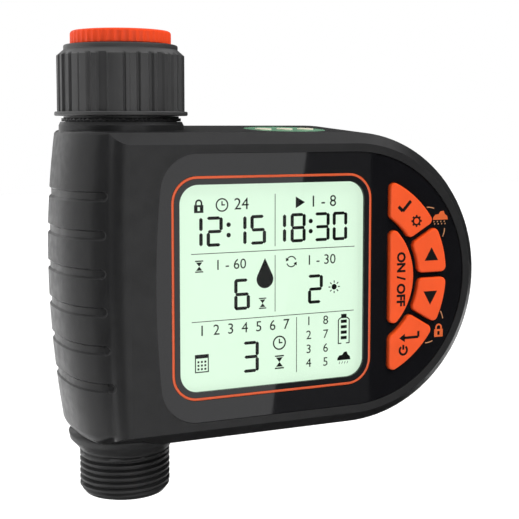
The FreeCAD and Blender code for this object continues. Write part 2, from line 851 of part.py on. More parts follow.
def make_board():
    board = Part.Face(round_end_wire(board_r, board_left_x, board_front_y))
    board = board.extrude(V(0, board_thickness, 0))
    notch = boss_r + boss_gap
    notches = [rod_y(notch, board_front_y - 1, board_back_y + 1, x, middle_z + dz) for x, dz in screw_places]
    holes = [rod_y(screw_r + seat_gap, board_front_y - 1, board_back_y + 1, x, z) for x, z in pillar_places()]
    save("main_board", cut_all(board, notches + holes).Solids[0])

    switches = []
    tip_y = board_front_y - switch_height
    for place in key_switch_places():
        half = switch_size / 2
        can = box(place.x - half, place.x + half, tip_y + switch_cap_height, board_front_y,
                  place.z - half, place.z + half)
        cap = rod_y(switch_cap_r, tip_y, tip_y + switch_cap_height, place.x, place.z)
        switches.append(can.fuse(cap))
    save("button_switches", Part.makeCompound(switches))

    seal = key_bay(seal_margin, floor_back_y, seal_back_y)
    save("button_seal", seal)

    screws = []
    for x, z in pillar_places():
        head_y = board_back_y
        shank = rod_y(screw_r, head_y - board_screw_length, head_y, x, z)
        head = rod_y(board_screw_head_r, head_y, head_y + board_screw_head_height, x, z)
        screws.append(shank.fuse(head))
    save("board_screws", Part.makeCompound(screws))


def make_buttons():
    front = panel_front_y - key_proud
    flange_end = key_flange_y + key_flange_thickness
    caps = key_shapes(0.0, front, flange_end)
    flanges = key_shapes(key_flange, key_flange_y, flange_end)
    for name in caps:
        rim = [e for e in caps[name].Edges if lies_at_y(e, front)]
        cap = caps[name].makeFillet(key_edge_round, rim)
        save(name, cap.fuse(flanges[name]).removeSplitter())


# Inlet: reducer, union nut and what is trapped between them

def make_reducer():
    shank_r = union_thread_r - seat_gap
    end = reducer_end_z
    profile = [(inlet_thread_r, 0), (reducer_collar_r, 0), (reducer_collar_r, -reducer_collar_height)]
    profile += [(shank_r, -reducer_collar_height), (shank_r, end + reducer_end_bevel)]
    profile += [(shank_r - reducer_end_bevel, end)]
    profile += [(waterway_r, end), (waterway_r, -inlet_thread_length)]
    profile += [(inlet_thread_r, -inlet_thread_length)]
    body = turned(profile)
    rim = [e for e in body.Edges if abs(e.BoundBox.ZMax) < 1e-6 and e.BoundBox.XMax > inlet_thread_r + 1]
    save("thread_reducer", body.makeFillet(reducer_edge_round, rim))


def make_nut():
    outline = []
    step = 360.0 / nut_rib_count
    half_top = step * nut_rib_top_share / 2
    half_foot = step * nut_rib_foot_share / 2
    for i in range(nut_rib_count):
        for turn, radius in ((-half_foot, nut_root_r), (-half_top, nut_rib_r),
                             (half_top, nut_rib_r), (half_foot, nut_root_r)):
            a = math.radians(i * step + turn)
            outline.append(V(radius * math.cos(a), radius * math.sin(a), nut_flange_z))
    ribs = Part.Face(Part.makePolygon(outline + outline[:1]))
    ribs = ribs.extrude(V(0, 0, nut_bevel_z - nut_flange_z))
    around = nut_rib_r + nut_edge_bevel
    envelope = turned([(0, nut_flange_z), (around, nut_flange_z), (around, nut_shoulder_z),
                       (nut_lip_r + nut_edge_bevel, nut_bevel_z), (0, nut_bevel_z)])
    lip = turned([(0, nut_flange_z), (nut_lip_r, nut_flange_z), (nut_lip_r, nut_top_z - nut_edge_bevel),
                  (nut_lip_r - nut_edge_bevel, nut_top_z), (0, nut_top_z)])
    flange = rod_z(nut_flange_r, nut_bottom_z, nut_flange_z)
    body = union([ribs.common(envelope), lip, flange])
    thread = rod_z(union_thread_r, nut_collar_z, 1)
    throat = rod_z(pipe_r + spin_gap, nut_bottom_z - 1, nut_collar_z + 1)
    save("inlet_nut", body.cut([thread, throat]))


def make_inlet_stack():
    ring_low = ring_top_z - ring_thickness
    core = pipe_r - ring_groove_depth + seat_gap
    ring = turned([(core, ring_low), (ring_r, ring_low), (ring_r, ring_top_z), (core, ring_top_z)])
    slot = box(0, far, -ring_slot / 2, ring_slot / 2, ring_low - 1, ring_top_z + 1)
    save("retaining_ring", ring.cut(slot))
    low = washer_top_z - washer_thickness
    hole = waterway_r - seat_gap
    washer = turned([(hole, low), (washer_r, low), (washer_r, washer_top_z), (hole, washer_top_z)])
    save("inlet_washer", washer)
    make_filter()


def make_filter():
    top = filter_top_z
    low = top - filter_rim
    tip = low - filter_depth
    neck = waterway_r - slide_gap
    rim = washer_r - slide_gap
    outer = [(neck, top), (rim, top), (rim, low), (neck, low)]
    outer += [(filter_tip_r, tip), (0, tip), (0, tip + filter_wall)]
    outer += [(filter_tip_r - filter_wall / 2, tip + filter_wall), (neck - filter_wall, low)]
    outer += [(neck - filter_wall, top)]
    body = turned(outer)
    slots = []
    for i in range(filter_slots):
        half = filter_slot_width / 2
        slot = box(half, far, -half, half, tip + filter_edge, low - filter_edge)
        slot.rotate(V(0, 0, 0), V(0, 0, 1), i * 360.0 / filter_slots)
        slots.append(slot)
    save("inlet_filter", body.cut(slots))


# Valve body and what is bolted to it

def make_valve_body():
    profile = [(0, spigot_top_z), (pipe_r, spigot_top_z), (pipe_r, ring_top_z)]
    groove_r = pipe_r - ring_groove_depth
    ring_low = ring_top_z - ring_thickness - seat_gap
    profile += [(groove_r, ring_top_z), (groove_r, ring_low), (pipe_r, ring_low)]
    profile += [(pipe_r, nut_bottom_z - slide_gap), (neck_r, nut_bottom_z - slide_gap)]
    profile += [(neck_r, neck_ring_z), (neck_ring_r, neck_ring_z)]
    profile += [(neck_ring_r, neck_ring_z - neck_ring_height), (pipe_r, neck_ring_z - neck_ring_height)]
    profile += [(pipe_r, outlet_shoulder_z), (outlet_shoulder_r, outlet_shoulder_z)]
    profile += [(outlet_shoulder_r - outlet_shoulder_draft, outlet_taper_z), (outlet_taper_r, outlet_root_z)]
    profile += [(outlet_root_r, outlet_thread_z), (outlet_thread_r, outlet_thread_z)]
    profile += [(outlet_thread_r, outlet_bevel_z), (outlet_thread_r - outlet_end_draft, outlet_end_z)]
    profile += [(0, outlet_end_z)]
    body = turned(profile)
    chamber = rod_x(chamber_r, 0, chamber_reach, 0, valve_z)
    body = body.fuse(chamber).removeSplitter()

    hollow = rod_x(chamber_bore_r, chamber_reach - chamber_depth, chamber_reach + 1, 0, valve_z)
    seat = rod_x(seat_r + seat_wall, chamber_reach - chamber_depth - 1, chamber_reach, 0, valve_z)
    port_z = valve_z + port_offset
    inlet = rod_z(waterway_r, port_z - bowl_overlap, 0)
    inlet_port = rod_x(port_r, 0, chamber_reach, 0, port_z)
    outlet = rod_z(waterway_r, outlet_end_z - 1, valve_z - 1)
    outlet_port = rod_x(seat_r, 0, chamber_reach + 1, 0, valve_z)
    lower_link = rod_z(seat_r, valve_z - 2, valve_z)
    inlet_end = valve_z + seat_r + seat_wall
    inlet = inlet.cut(box(-far, far, -far, far, -far, inlet_end))
    tools = [hollow.cut(seat), inlet, inlet_port.cut(seat), outlet, outlet_port, lower_link]
    pilot_x = chamber_reach - bonnet_pilot_depth
    tools += [rod_x(bonnet_screw_r + touch_gap, pilot_x, chamber_reach + 1, y, z)
              for y, z in bonnet_screw_places()]
    tools += [pipe_seal(level, seat_gap) for level in pipe_seal_levels()]
    save("valve_body", cut_all(body, tools))


def pipe_seal(level, grow):
    half = pipe_seal_section / 2 + grow
    inner = pipe_r + seat_gap - pipe_seal_section - grow
    outer = pipe_r + grow
    return turned([(inner, level - half), (outer, level - half),
                   (outer, level + half), (inner, level + half)])


def pipe_seal_levels():
    return [housing_top_z - wall / 2, housing_bottom_z + wall / 2]


def bonnet_screw_places():
    places = []
    for i in range(bonnet_screws):
        a = math.radians(bonnet_screw_angle + i * 360.0 / bonnet_screws)
        places.append((bonnet_screw_circle_r * math.cos(a), valve_z + bonnet_screw_circle_r * math.sin(a)))
    return places


def make_valve_parts():
    save("pipe_seals", Part.makeCompound([pipe_seal(level, 0.0) for level in pipe_seal_levels()]))
    x0 = chamber_reach
    x1 = x0 + diaphragm_thickness
    sheet = rod_x(chamber_r - diaphragm_margin, x0, x1, 0, valve_z)
    hub = rod_x(diaphragm_hub_r, x1, x1 + diaphragm_hub_height, 0, valve_z)
    pilot = rod_x(pilot_hole_r, x0 - 1, x1 + diaphragm_hub_height + 1, 0, valve_z)
    holes = [rod_x(bonnet_screw_r + bolt_gap, x0 - 1, x1 + 1, y, z) for y, z in bonnet_screw_places()]
    save("valve_diaphragm", sheet.fuse(hub).cut([pilot] + holes))

    x2 = x1 + bonnet_thickness
    bonnet = rod_x(chamber_r, x1, x2, 0, valve_z)
    lid_room = rod_x(chamber_bore_r, x1 - 1, x1 + lid_room_height, 0, valve_z)
    guide = rod_x(plunger_r + spin_gap, x1, x2 + 1, 0, valve_z)
    holes = [rod_x(bonnet_screw_r + bolt_gap, x1 - 1, x2 + 1, y, z) for y, z in bonnet_screw_places()]
    save("valve_bonnet", bonnet.cut([lid_room, guide] + holes))

    screws = []
    for y, z in bonnet_screw_places():
        shank = rod_x(bonnet_screw_r, x2 - bonnet_screw_length, x2, y, z)
        head = rod_x(bonnet_screw_head_r, x2, x2 + bonnet_screw_head_height, y, z)
        screws.append(shank.fuse(head))
    save("bonnet_screws", Part.makeCompound(screws))

    bracket_x0 = x2 + seat_gap
    coil_x0 = bracket_x0 + yoke_thickness + seat_gap
    coil_x1 = coil_x0 + coil_length
    bracket_x1 = coil_x1 + seat_gap + yoke_thickness
    wire_x0 = coil_x0 + bobbin_flange
    wire_x1 = coil_x1 - bobbin_flange
    wire_r = coil_r - winding_drop
    wound = turned_x([(coil_x0, 0), (coil_x0, coil_r), (wire_x0, coil_r), (wire_x0, wire_r),
                      (wire_x1, wire_r), (wire_x1, coil_r), (coil_x1, coil_r), (coil_x1, 0)], 0, valve_z)
    bore = rod_x(plunger_r + spin_gap, coil_x0 - 1, coil_x1 - coil_plug, 0, valve_z)
    save("solenoid_coil", wound.cut(bore))

    half = yoke_size / 2
    low = valve_z - coil_r - seat_gap - yoke_thickness
    frame = box(bracket_x0, bracket_x1, -half, half, low, valve_z + half)
    room = box(coil_x0 - seat_gap, coil_x1 + seat_gap, -far, far, low + yoke_thickness, 0)
    guide = rod_x(plunger_r + spin_gap, bracket_x0 - 1, coil_x0, 0, valve_z)
    cover_x1 = x2 + bonnet_screw_head_height + seat_gap
    corners = [rod_x(bonnet_screw_head_r + slide_gap, bracket_x0 - 1, cover_x1, y, z)
               for y, z in bonnet_screw_places()]
    save("solenoid_yoke", frame.cut([room, guide] + corners))

    plunger_x0 = x1 + diaphragm_hub_height + slide_gap
    plunger_x1 = coil_x1 - coil_plug - plunger_travel - slide_gap
    body = rod_x(plunger_r, plunger_x0, plunger_x1, 0, valve_z)
    tip = [e for e in body.Edges if e.BoundBox.XMax < plunger_x0 + 1e-3]
    save("solenoid_plunger", body.makeChamfer(plunger_tip_bevel, tip))


# Battery tray

def tray_block(grow, y0, y1):
    return box(round_end_x - tray_width / 2 - grow, round_end_x + tray_width / 2 + grow, y0, y1,
               middle_z - tray_height / 2 - grow, middle_z + tray_height / 2 + grow)


def seal_span():
    end = tray_plate_y - slide_gap - tray_seal_setback
    return end - tray_seal_width, end


def make_tray():
    body = tray_block(0.0, tray_inner_y, tray_plate_y)
    plate = rounded_plate(round_end_x, middle_z, tray_plate_width, tray_plate_height, tray_plate_corner_r,
                          tray_plate_y, back_y + tray_proud)
    rim = [e for e in plate.Edges if lies_at_y(e, back_y + tray_proud)]
    plate = plate.makeFillet(tray_edge_round, rim)
    well = box(round_end_x - well_width / 2, round_end_x + well_width / 2, tray_inner_y - 1, tray_floor_y,
               middle_z - well_height / 2, middle_z + well_height / 2)
    s0, s1 = seal_span()
    groove = tray_block(tray_seal_reach, s0, s1).cut(tray_block(-tray_wall / 2, s0 - 1, s1 + 1))
    scoops = [finger_scoop(side) for side in (-1, 1)]
    half = tray_rail_width / 2
    rails = [box(round_end_x - half, round_end_x + half, tray_floor_y - tray_rail_height, tray_floor_y,
                 middle_z - well_height / 2, middle_z + well_height / 2)]
    tray = union([body.cut(well), plate]).cut([groove] + scoops)
    save("battery_tray", union([tray] + rails))
    make_tray_seal(s0, s1)


def make_tray_seal(s0, s1):
    outer = tray_block(slide_gap - press_gap, s0 + press_gap, s1 - press_gap)
    inner = tray_block(press_gap - tray_wall / 2, s0 - 1, s1 + 1)
    save("tray_seal", outer.cut(inner))


def finger_scoop(side):
    """Hollow for a fingertip; a rib stays between the two hollows to pull on."""
    face_y = back_y + tray_proud
    axis_y = face_y + scoop_r - scoop_depth
    shift = scoop_rib / 2 + math.sqrt(scoop_r ** 2 - (scoop_r - scoop_depth) ** 2)
    x = round_end_x + side * shift
    length = 2 * scoop_half_height
    return Part.makeCylinder(scoop_r, length, V(x, axis_y, middle_z - scoop_half_height), V(0, 0, 1))


def make_cells():
    cells = []
    low = middle_z - cell_total / 2
    for side in (-1, 1):
        x = round_end_x + side * cell_spacing / 2
        body = rod_z(cell_r, low, low + cell_length, x, cell_y)
        body = body.makeChamfer(cell_edge_bevel, [e for e in body.Edges if e.BoundBox.ZLength < 1e-6])
        cell = body.fuse(rod_z(cell_nub_r, low + cell_length, low + cell_total, x, cell_y))
        if side > 0:
            cell = flipped(cell)
        cells.append(cell)
    save("battery_cells", Part.makeCompound(cells))

    plates = []
    half = contact_width / 2
    for side in (-1, 1):
        x = round_end_x + side * cell_spacing / 2
        for level in (-1, 1):
            end = middle_z + level * (well_height / 2 - touch_gap)
            low, high = sorted((end, end - level * contact_thickness))
            plates.append(box(x - half, x + half, cell_y - half, cell_y + half, low, high))
    save("tray_contacts", Part.makeCompound(plates))


def blade_place(side):
    x = round_end_x + side * (well_width / 2 + tray_wall / 2 - blade_inset)
    return x, middle_z - bay_height / 2 + blade_rise


def blade_slot(side):
    x, z = blade_place(side)
    half = blade_width / 2 + press_gap
    thick = blade_thickness / 2 + press_gap
    return box(x - half, x + half, bay_floor_y - bay_wall - 1, bay_floor_y + 1, z - thick, z + thick)


def make_bay_contacts():
    blades = []
    for side in (-1, 1):
        x, z = blade_place(side)
        half = blade_width / 2
        thick = blade_thickness / 2
        front = bay_floor_y - bay_wall - blade_reach
        blades.append(box(x - half, x + half, front, bay_floor_y, z - thick, z + thick))
    save("bay_contacts", Part.makeCompound(blades))


# Rain sensor

def make_sensor():
    top = housing_top_z - sensor_sink
    board = rod_z(sensor_r, top - sensor_board_thickness, top, sensor_x, sensor_y)
    save("rain_sensor_board", tilt_to_top(board))
    pads = []
    for i in (-1, 0, 1):
        x = sensor_x + i * sensor_pad_pitch
        pads.append(tilt_to_top(rod_z(sensor_pad_r, top, top + sensor_pad_height, x, sensor_y)))
    save("rain_sensor_pads", Part.makeCompound(pads))


make_shells()
make_housing_screws()
make_panel()
make_display()
make_board()
make_buttons()
make_reducer()
make_nut()
make_inlet_stack()
make_valve_body()
make_valve_parts()
make_tray()
make_cells()
make_bay_contacts()
make_sensor()
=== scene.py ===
import bmesh
import bpy
import json
import math
from mathutils import Euler, Matrix, Vector


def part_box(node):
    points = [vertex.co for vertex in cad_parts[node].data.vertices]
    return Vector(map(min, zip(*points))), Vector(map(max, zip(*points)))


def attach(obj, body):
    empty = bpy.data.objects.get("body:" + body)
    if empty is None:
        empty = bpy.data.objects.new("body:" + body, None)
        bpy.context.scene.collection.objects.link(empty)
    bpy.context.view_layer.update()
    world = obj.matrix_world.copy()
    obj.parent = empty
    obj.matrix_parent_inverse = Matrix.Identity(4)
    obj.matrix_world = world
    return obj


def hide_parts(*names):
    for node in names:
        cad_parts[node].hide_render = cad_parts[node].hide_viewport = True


# An irrigation timer: studio, finishes, and the pieces that the solids leave plain.
# Lengths below are millimetres; MM turns them into the metres of the frame.

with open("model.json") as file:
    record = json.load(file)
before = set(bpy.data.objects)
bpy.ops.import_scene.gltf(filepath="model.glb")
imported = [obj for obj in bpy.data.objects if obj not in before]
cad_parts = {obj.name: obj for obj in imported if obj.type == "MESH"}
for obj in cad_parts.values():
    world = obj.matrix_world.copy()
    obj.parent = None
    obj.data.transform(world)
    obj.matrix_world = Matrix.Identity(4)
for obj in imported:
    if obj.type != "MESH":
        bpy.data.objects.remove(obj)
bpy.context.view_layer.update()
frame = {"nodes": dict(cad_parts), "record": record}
nodes = frame["nodes"]
scene = bpy.context.scene
scene.view_settings.view_transform = "Standard"
MM = 0.001


def span(node):
    """Lowest and highest corner of a solid, in millimetres."""
    low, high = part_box(node)
    return low / MM, high / MM


# Camera of the photograph

PHOTO_WIDTH = 519.0
PHOTO_FOCUS = 1112.0
CAMERA_PLACE = (-97.7, -311.6, -26.8)
CAMERA_DIP = 4.844
CAMERA_TURN = -24.456
CAMERA_SHIFT = -0.0778


def make_camera():
    data = bpy.data.cameras.new("photo_camera")
    data.sensor_width = 36.0
    data.lens = PHOTO_FOCUS / PHOTO_WIDTH * data.sensor_width
    data.shift_y = CAMERA_SHIFT
    data.clip_start = 0.01
    data.clip_end = 50.0
    camera = bpy.data.objects.new("photo_camera", data)
    camera.location = Vector(CAMERA_PLACE) * MM
    camera.rotation_euler = Euler((math.radians(90 - CAMERA_DIP), 0, math.radians(CAMERA_TURN)))
    scene.collection.objects.link(camera)
    scene.camera = camera


make_camera()


# Studio

FLOOR_DROP = 420.0
FLOOR_HALF = 8000.0
FLOOR_TONE = 0.8
FLOOR_LIFT = 0.2
KEY_AZIMUTH = -48.0
KEY_HEIGHT = 52.0
KEY_STRENGTH = 3.3
LAMP_SOFTNESS = 40
SIDE_AZIMUTH = 158.0
SIDE_HEIGHT = 14.0
SIDE_STRENGTH = 2.1
AMBIENT = 0.4
SOFTBOX_GLOW = 1.25
STRIP_GLOW = 0.15
BACK_FLAG_GLOW = 0.02


def sun(name, azimuth, height, strength):
    data = bpy.data.lights.new(name, "SUN")
    data.energy = strength
    data.angle = math.radians(LAMP_SOFTNESS)
    lamp = bpy.data.objects.new(name, data)
    a = math.radians(azimuth)
    h = math.radians(height)
    towards = Vector((math.cos(a) * math.cos(h), math.sin(a) * math.cos(h), math.sin(h)))
    lamp.rotation_euler = towards.to_track_quat("Z", "Y").to_euler()
    lamp.visible_glossy = False
    scene.collection.objects.link(lamp)


def seen_directly(tree):
    """1 for rays that show the surroundings themselves, by eye, in a reflection or through glass."""
    paths = tree.nodes.new("ShaderNodeLightPath")
    seen = paths.outputs["Is Camera Ray"]
    for kind in ("Is Glossy Ray", "Is Transmission Ray"):
        either = tree.nodes.new("ShaderNodeMath")
        either.operation = "MAXIMUM"
        tree.links.new(seen, either.inputs[0])
        tree.links.new(paths.outputs[kind], either.inputs[1])
        seen = either.outputs[0]
    return seen


def make_world():
    world = bpy.data.worlds.new("studio")
    scene.world = world
    world.use_nodes = True
    tree = world.node_tree
    tree.nodes.clear()
    out = tree.nodes.new("ShaderNodeOutputWorld")
    soft = tree.nodes.new("ShaderNodeBackground")
    soft.inputs["Color"].default_value = (1, 1, 1, 1)
    soft.inputs["Strength"].default_value = AMBIENT
    white = tree.nodes.new("ShaderNodeBackground")
    white.inputs["Color"].default_value = (1, 1, 1, 1)
    mix = tree.nodes.new("ShaderNodeMixShader")
    tree.links.new(seen_directly(tree), mix.inputs[0])
    tree.links.new(soft.outputs[0], mix.inputs[1])
    tree.links.new(white.outputs[0], mix.inputs[2])
    tree.links.new(mix.outputs[0], out.inputs[0])


def make_floor():
    material = bpy.data.materials.new("pale_floor")
    material.use_nodes = True
    tree = material.node_tree
    tree.nodes.clear()
    out = tree.nodes.new("ShaderNodeOutputMaterial")
    matte = tree.nodes.new("ShaderNodeBsdfDiffuse")
    matte.inputs["Color"].default_value = (FLOOR_TONE, FLOOR_TONE, FLOOR_TONE, 1)
    lift = tree.nodes.new("ShaderNodeEmission")
    strength = tree.nodes.new("ShaderNodeMath")
    strength.operation = "MULTIPLY"
    strength.inputs[1].default_value = FLOOR_LIFT
    tree.links.new(seen_directly(tree), strength.inputs[0])
    tree.links.new(strength.outputs[0], lift.inputs["Strength"])
    both = tree.nodes.new("ShaderNodeAddShader")
    tree.links.new(matte.outputs[0], both.inputs[0])
    tree.links.new(lift.outputs[0], both.inputs[1])
    tree.links.new(both.outputs[0], out.inputs[0])
    z = span("valve_body")[0].z - FLOOR_DROP
    mesh = bpy.data.meshes.new("floor")
    corners = [(x * FLOOR_HALF, y * FLOOR_HALF, z) for x, y in ((-1, -1), (1, -1), (1, 1), (-1, 1))]
    mesh.from_pydata([Vector(c) * MM for c in corners], [], [(0, 1, 2, 3)])
    mesh.materials.append(material)
    floor = bpy.data.objects.new("floor", mesh)
    scene.collection.objects.link(floor)


def card_material(name, strength):
    material = bpy.data.materials.new(name)
    material.use_nodes = True
    tree = material.node_tree
    tree.nodes.clear()
    out = tree.nodes.new("ShaderNodeOutputMaterial")
    glow = tree.nodes.new("ShaderNodeEmission")
    glow.inputs["Strength"].default_value = strength
    tree.links.new(glow.outputs[0], out.inputs[0])
    return material


def make_card(name, foot, head, strength):
    """A studio card between two rows of points, which only reflections see."""
    mesh = bpy.data.meshes.new(name)
    count = len(foot)
    sides = [(i, i + 1, count + i + 1, count + i) for i in range(count - 1)]
    mesh.from_pydata([Vector(p) * MM for p in (*foot, *head)], [], sides)
    mesh.materials.append(card_material(name, strength))
    card = bpy.data.objects.new(name, mesh)
    scene.collection.objects.link(card)
    card.visible_camera = False
    card.visible_diffuse = False
    card.visible_shadow = False
    card.visible_transmission = False


def make_cards():
    """Dark flags all round the front, and a softbox whose slanted end shows in the glossy panel."""
    rim = [(-1300, -380, 700), (-900, -900, 700), (-500, -1150, 700), (1600, -1150, 700)]
    rim += [(2000, -600, 1300), (2300, 600, 1700), (1800, 1500, 1700)]
    make_card("front_flag", [(x, y, -1300) for x, y, z in rim], rim, 0.0)
    foot = [(x, -1000, -900) for x in (-420, 420, 636)]
    head = [(x, -1000, 130) for x in (-420, 570, 636)]
    make_card("front_softbox", foot[:2], head[:2], SOFTBOX_GLOW)
    make_card("front_strip", foot[1:], head[1:], STRIP_GLOW)
    near = [(-200, -900, -530), (1300, -900, -530)]
    make_card("low_flag", near, [(x, 500, z) for x, y, z in near], 0.0)
    behind = [(0, 1300, -250), (1200, 900, -250)]
    make_card("back_flag", behind, [(x, y, 700) for x, y, z in behind], BACK_FLAG_GLOW)


def make_studio():
    make_world()
    sun("key_light", KEY_AZIMUTH, KEY_HEIGHT, KEY_STRENGTH)
    sun("side_light", SIDE_AZIMUTH, SIDE_HEIGHT, SIDE_STRENGTH)
    make_floor()
    make_cards()


make_studio()


# Finishes

WINDOW_IOR = 1.28
# Strength of the display's painted glow, which stands in for light on the cell.
PAINTED_DISPLAY_GLOW = 0.82
RIDGE_DEPTH = 0.1
COIL_PITCH = 0.35
GAUZE_PITCH = 0.5
CELL_BAND_RISE = 9.0
CELL_BAND_COLOUR = (0.45, 0.36, 0.2)


def start(slot):
    material = bpy.data.materials.new(slot)
    material.use_nodes = True
    tree = material.node_tree
    return material, tree, tree.nodes["Principled BSDF"]


def noise(tree, cell, detail=2.0):
    """Soft blotches about as wide as cell, in millimetres, fixed to the piece."""
    place = tree.nodes.new("ShaderNodeTexCoord")
    texture = tree.nodes.new("ShaderNodeTexNoise")
    texture.inputs["Scale"].default_value = 1 / (cell * MM)
    texture.inputs["Detail"].default_value = detail
    tree.links.new(place.outputs["Object"], texture.inputs["Vector"])
    return texture.outputs["Fac"]


def between(tree, value, low, high, start_at=0.35, end_at=0.65):
    reach = tree.nodes.new("ShaderNodeMapRange")
    reach.inputs["From Min"].default_value = start_at
    reach.inputs["From Max"].default_value = end_at
    reach.inputs["To Min"].default_value = low
    reach.inputs["To Max"].default_value = high
    tree.links.new(value, reach.inputs["Value"])
    return reach.outputs["Result"]


def two_colours(tree, share, first, second):
    mix = tree.nodes.new("ShaderNodeMix")
    mix.data_type = "RGBA"
    tree.links.new(share, mix.inputs["Factor"])
    for socket, colour in ((mix.inputs["A"], first), (mix.inputs["B"], second)):
        if isinstance(colour, bpy.types.NodeSocket):
            tree.links.new(colour, socket)
        else:
            socket.default_value = (*colour[:3], 1)
    return mix.outputs["Result"]


def shade(colour, share):
    return tuple(min(1.0, c * share) for c in colour[:3])


def edge_share(tree, radius):
    """0 on flat faces, rising to 1 on sharp outer edges."""
    soft = tree.nodes.new("ShaderNodeBevel")
    soft.samples = 4
    soft.inputs["Radius"].default_value = radius * MM
    sharp = tree.nodes.new("ShaderNodeNewGeometry")
    dot = tree.nodes.new("ShaderNodeVectorMath")
    dot.operation = "DOT_PRODUCT"
    tree.links.new(soft.outputs["Normal"], dot.inputs[0])
    tree.links.new(sharp.outputs["Normal"], dot.inputs[1])
    return between(tree, dot.outputs["Value"], 1.0, 0.0, 0.9, 0.995)


def relief(tree, shader, height, depth, strength=1.0):
    """Bumps that follow a height from 0 to 1 and are this many millimetres deep."""
    bump = tree.nodes.new("ShaderNodeBump")
    bump.inputs["Strength"].default_value = strength
    bump.inputs["Distance"].default_value = depth * MM
    tree.links.new(height, bump.inputs["Height"])
    tree.links.new(bump.outputs["Normal"], shader.inputs["Normal"])


def grain(tree, shader, cell, depth, strength):
    """Fine bumps of this cell size and depth, in millimetres."""
    relief(tree, shader, noise(tree, cell), depth, strength)


def ridges(tree, axis, pitch, wobble=0.0):
    """Even ridges along one axis, this many millimetres apart."""
    place = tree.nodes.new("ShaderNodeTexCoord")
    wave = tree.nodes.new("ShaderNodeTexWave")
    wave.bands_direction = axis
    wave.inputs["Scale"].default_value = math.tau / 20 / (pitch * MM)
    wave.inputs["Distortion"].default_value = wobble
    tree.links.new(place.outputs["Object"], wave.inputs["Vector"])
    return wave.outputs["Fac"]


def moulded(slot, colour, rough, cell=0.45, depth=0.03, edge=1.35, mottle=0.07, sheen=0.42):
    """Satin moulded plastic: fine grain, slight mottling, edges rubbed a little paler."""
    material, tree, shader = start(slot)
    shader.inputs["Specular IOR Level"].default_value = sheen
    tone = two_colours(tree, between(tree, noise(tree, 9.0), 0.0, 1.0), shade(colour, 1 - mottle),
                       shade(colour, 1 + mottle))
    rubbed = two_colours(tree, edge_share(tree, 0.35), tone, shade(colour, edge))
    tree.links.new(rubbed, shader.inputs["Base Color"])
    tree.links.new(between(tree, noise(tree, 3.0), rough - 0.04, rough + 0.05), shader.inputs["Roughness"])
    grain(tree, shader, cell, depth, 0.6)
    return material


def polished(slot, colour, rough):
    """Glossy plastic with faint wiping marks in the gloss."""
    material, tree, shader = start(slot)
    tree.links.new(two_colours(tree, noise(tree, 14.0), shade(colour, 0.85), shade(colour, 1.15)),
                   shader.inputs["Base Color"])
    tree.links.new(between(tree, noise(tree, 5.0, 5.0), rough, rough + 0.02), shader.inputs["Roughness"])
    grain(tree, shader, 6.0, 0.002, 0.2)
    return material


def metal(slot, colour, rough):
    """Machined or plated metal with fine scratches."""
    material, tree, shader = start(slot)
    shader.inputs["Metallic"].default_value = 1.0
    tree.links.new(two_colours(tree, noise(tree, 2.0), shade(colour, 0.85), shade(colour, 1.1)),
                   shader.inputs["Base Color"])
    scratched = between(tree, noise(tree, 0.6, 4.0), rough - 0.06, rough + 0.1)
    tree.links.new(scratched, shader.inputs["Roughness"])
    grain(tree, shader, 0.3, 0.01, 0.4)
    return material


def striped(slot, colour, rough, axis, pitch, metallic):
    """Fine even ridges along one axis, such as windings, with painted shade darkening the grooves between
    them.
    """
    material, tree, shader = start(slot)
    shader.inputs["Metallic"].default_value = metallic
    wave = ridges(tree, axis, pitch, 0.4)
    # Painted shade: colour falls to half in the low grooves between the ridges.
    tree.links.new(two_colours(tree, wave, shade(colour, 0.5), shade(colour, 1.2)),
                   shader.inputs["Base Color"])
    tree.links.new(between(tree, noise(tree, 1.0), rough - 0.05, rough + 0.08), shader.inputs["Roughness"])
    relief(tree, shader, wave, RIDGE_DEPTH)
    return material


def clear_window(slot):
    """Thin clear plastic: see-through, with a gloss on its outer side that grows at a slant."""
    material, tree, shader = start(slot)
    tree.nodes.remove(shader)
    out = tree.nodes["Material Output"]
    through = tree.nodes.new("ShaderNodeBsdfTransparent")
    through.inputs["Color"].default_value = (0.985, 1.0, 0.985, 1)
    gloss = tree.nodes.new("ShaderNodeBsdfGlossy")
    tree.links.new(between(tree, noise(tree, 6.0, 4.0), 0.005, 0.015), gloss.inputs["Roughness"])
    fresnel = tree.nodes.new("ShaderNodeFresnel")
    fresnel.inputs["IOR"].default_value = WINDOW_IOR
    face = tree.nodes.new("ShaderNodeNewGeometry")
    outer = tree.nodes.new("ShaderNodeMath")
    outer.operation = "SUBTRACT"
    outer.use_clamp = True
    tree.links.new(fresnel.outputs[0], outer.inputs[0])
    tree.links.new(face.outputs["Backfacing"], outer.inputs[1])
    mix = tree.nodes.new("ShaderNodeMixShader")
    tree.links.new(outer.outputs[0], mix.inputs[0])
    tree.links.new(through.outputs[0], mix.inputs[1])
    tree.links.new(gloss.outputs[0], mix.inputs[2])
    tree.links.new(mix.outputs[0], out.inputs["Surface"])
    return material


def painted_glow_display(slot, colour):
    """Liquid crystal cell with a painted glow: it gives off an even pale light though it is no lamp, which
    also fills the shade of its recess, with a faint cloudiness.
    """
    material, tree, shader = start(slot)
    tone = two_colours(tree, noise(tree, 22.0), shade(colour, 0.97), shade(colour, 1.03))
    dim = two_colours(tree, noise(tree, 0.4), shade(colour, 0.14), shade(colour, 0.17))
    tree.links.new(dim, shader.inputs["Base Color"])
    # Painted glow: emission keeps the cell evenly bright, also in the shade of its recess.
    tree.links.new(tone, shader.inputs["Emission Color"])
    shader.inputs["Emission Strength"].default_value = PAINTED_DISPLAY_GLOW
    tree.links.new(between(tree, noise(tree, 4.0), 0.35, 0.45), shader.inputs["Roughness"])
    return material


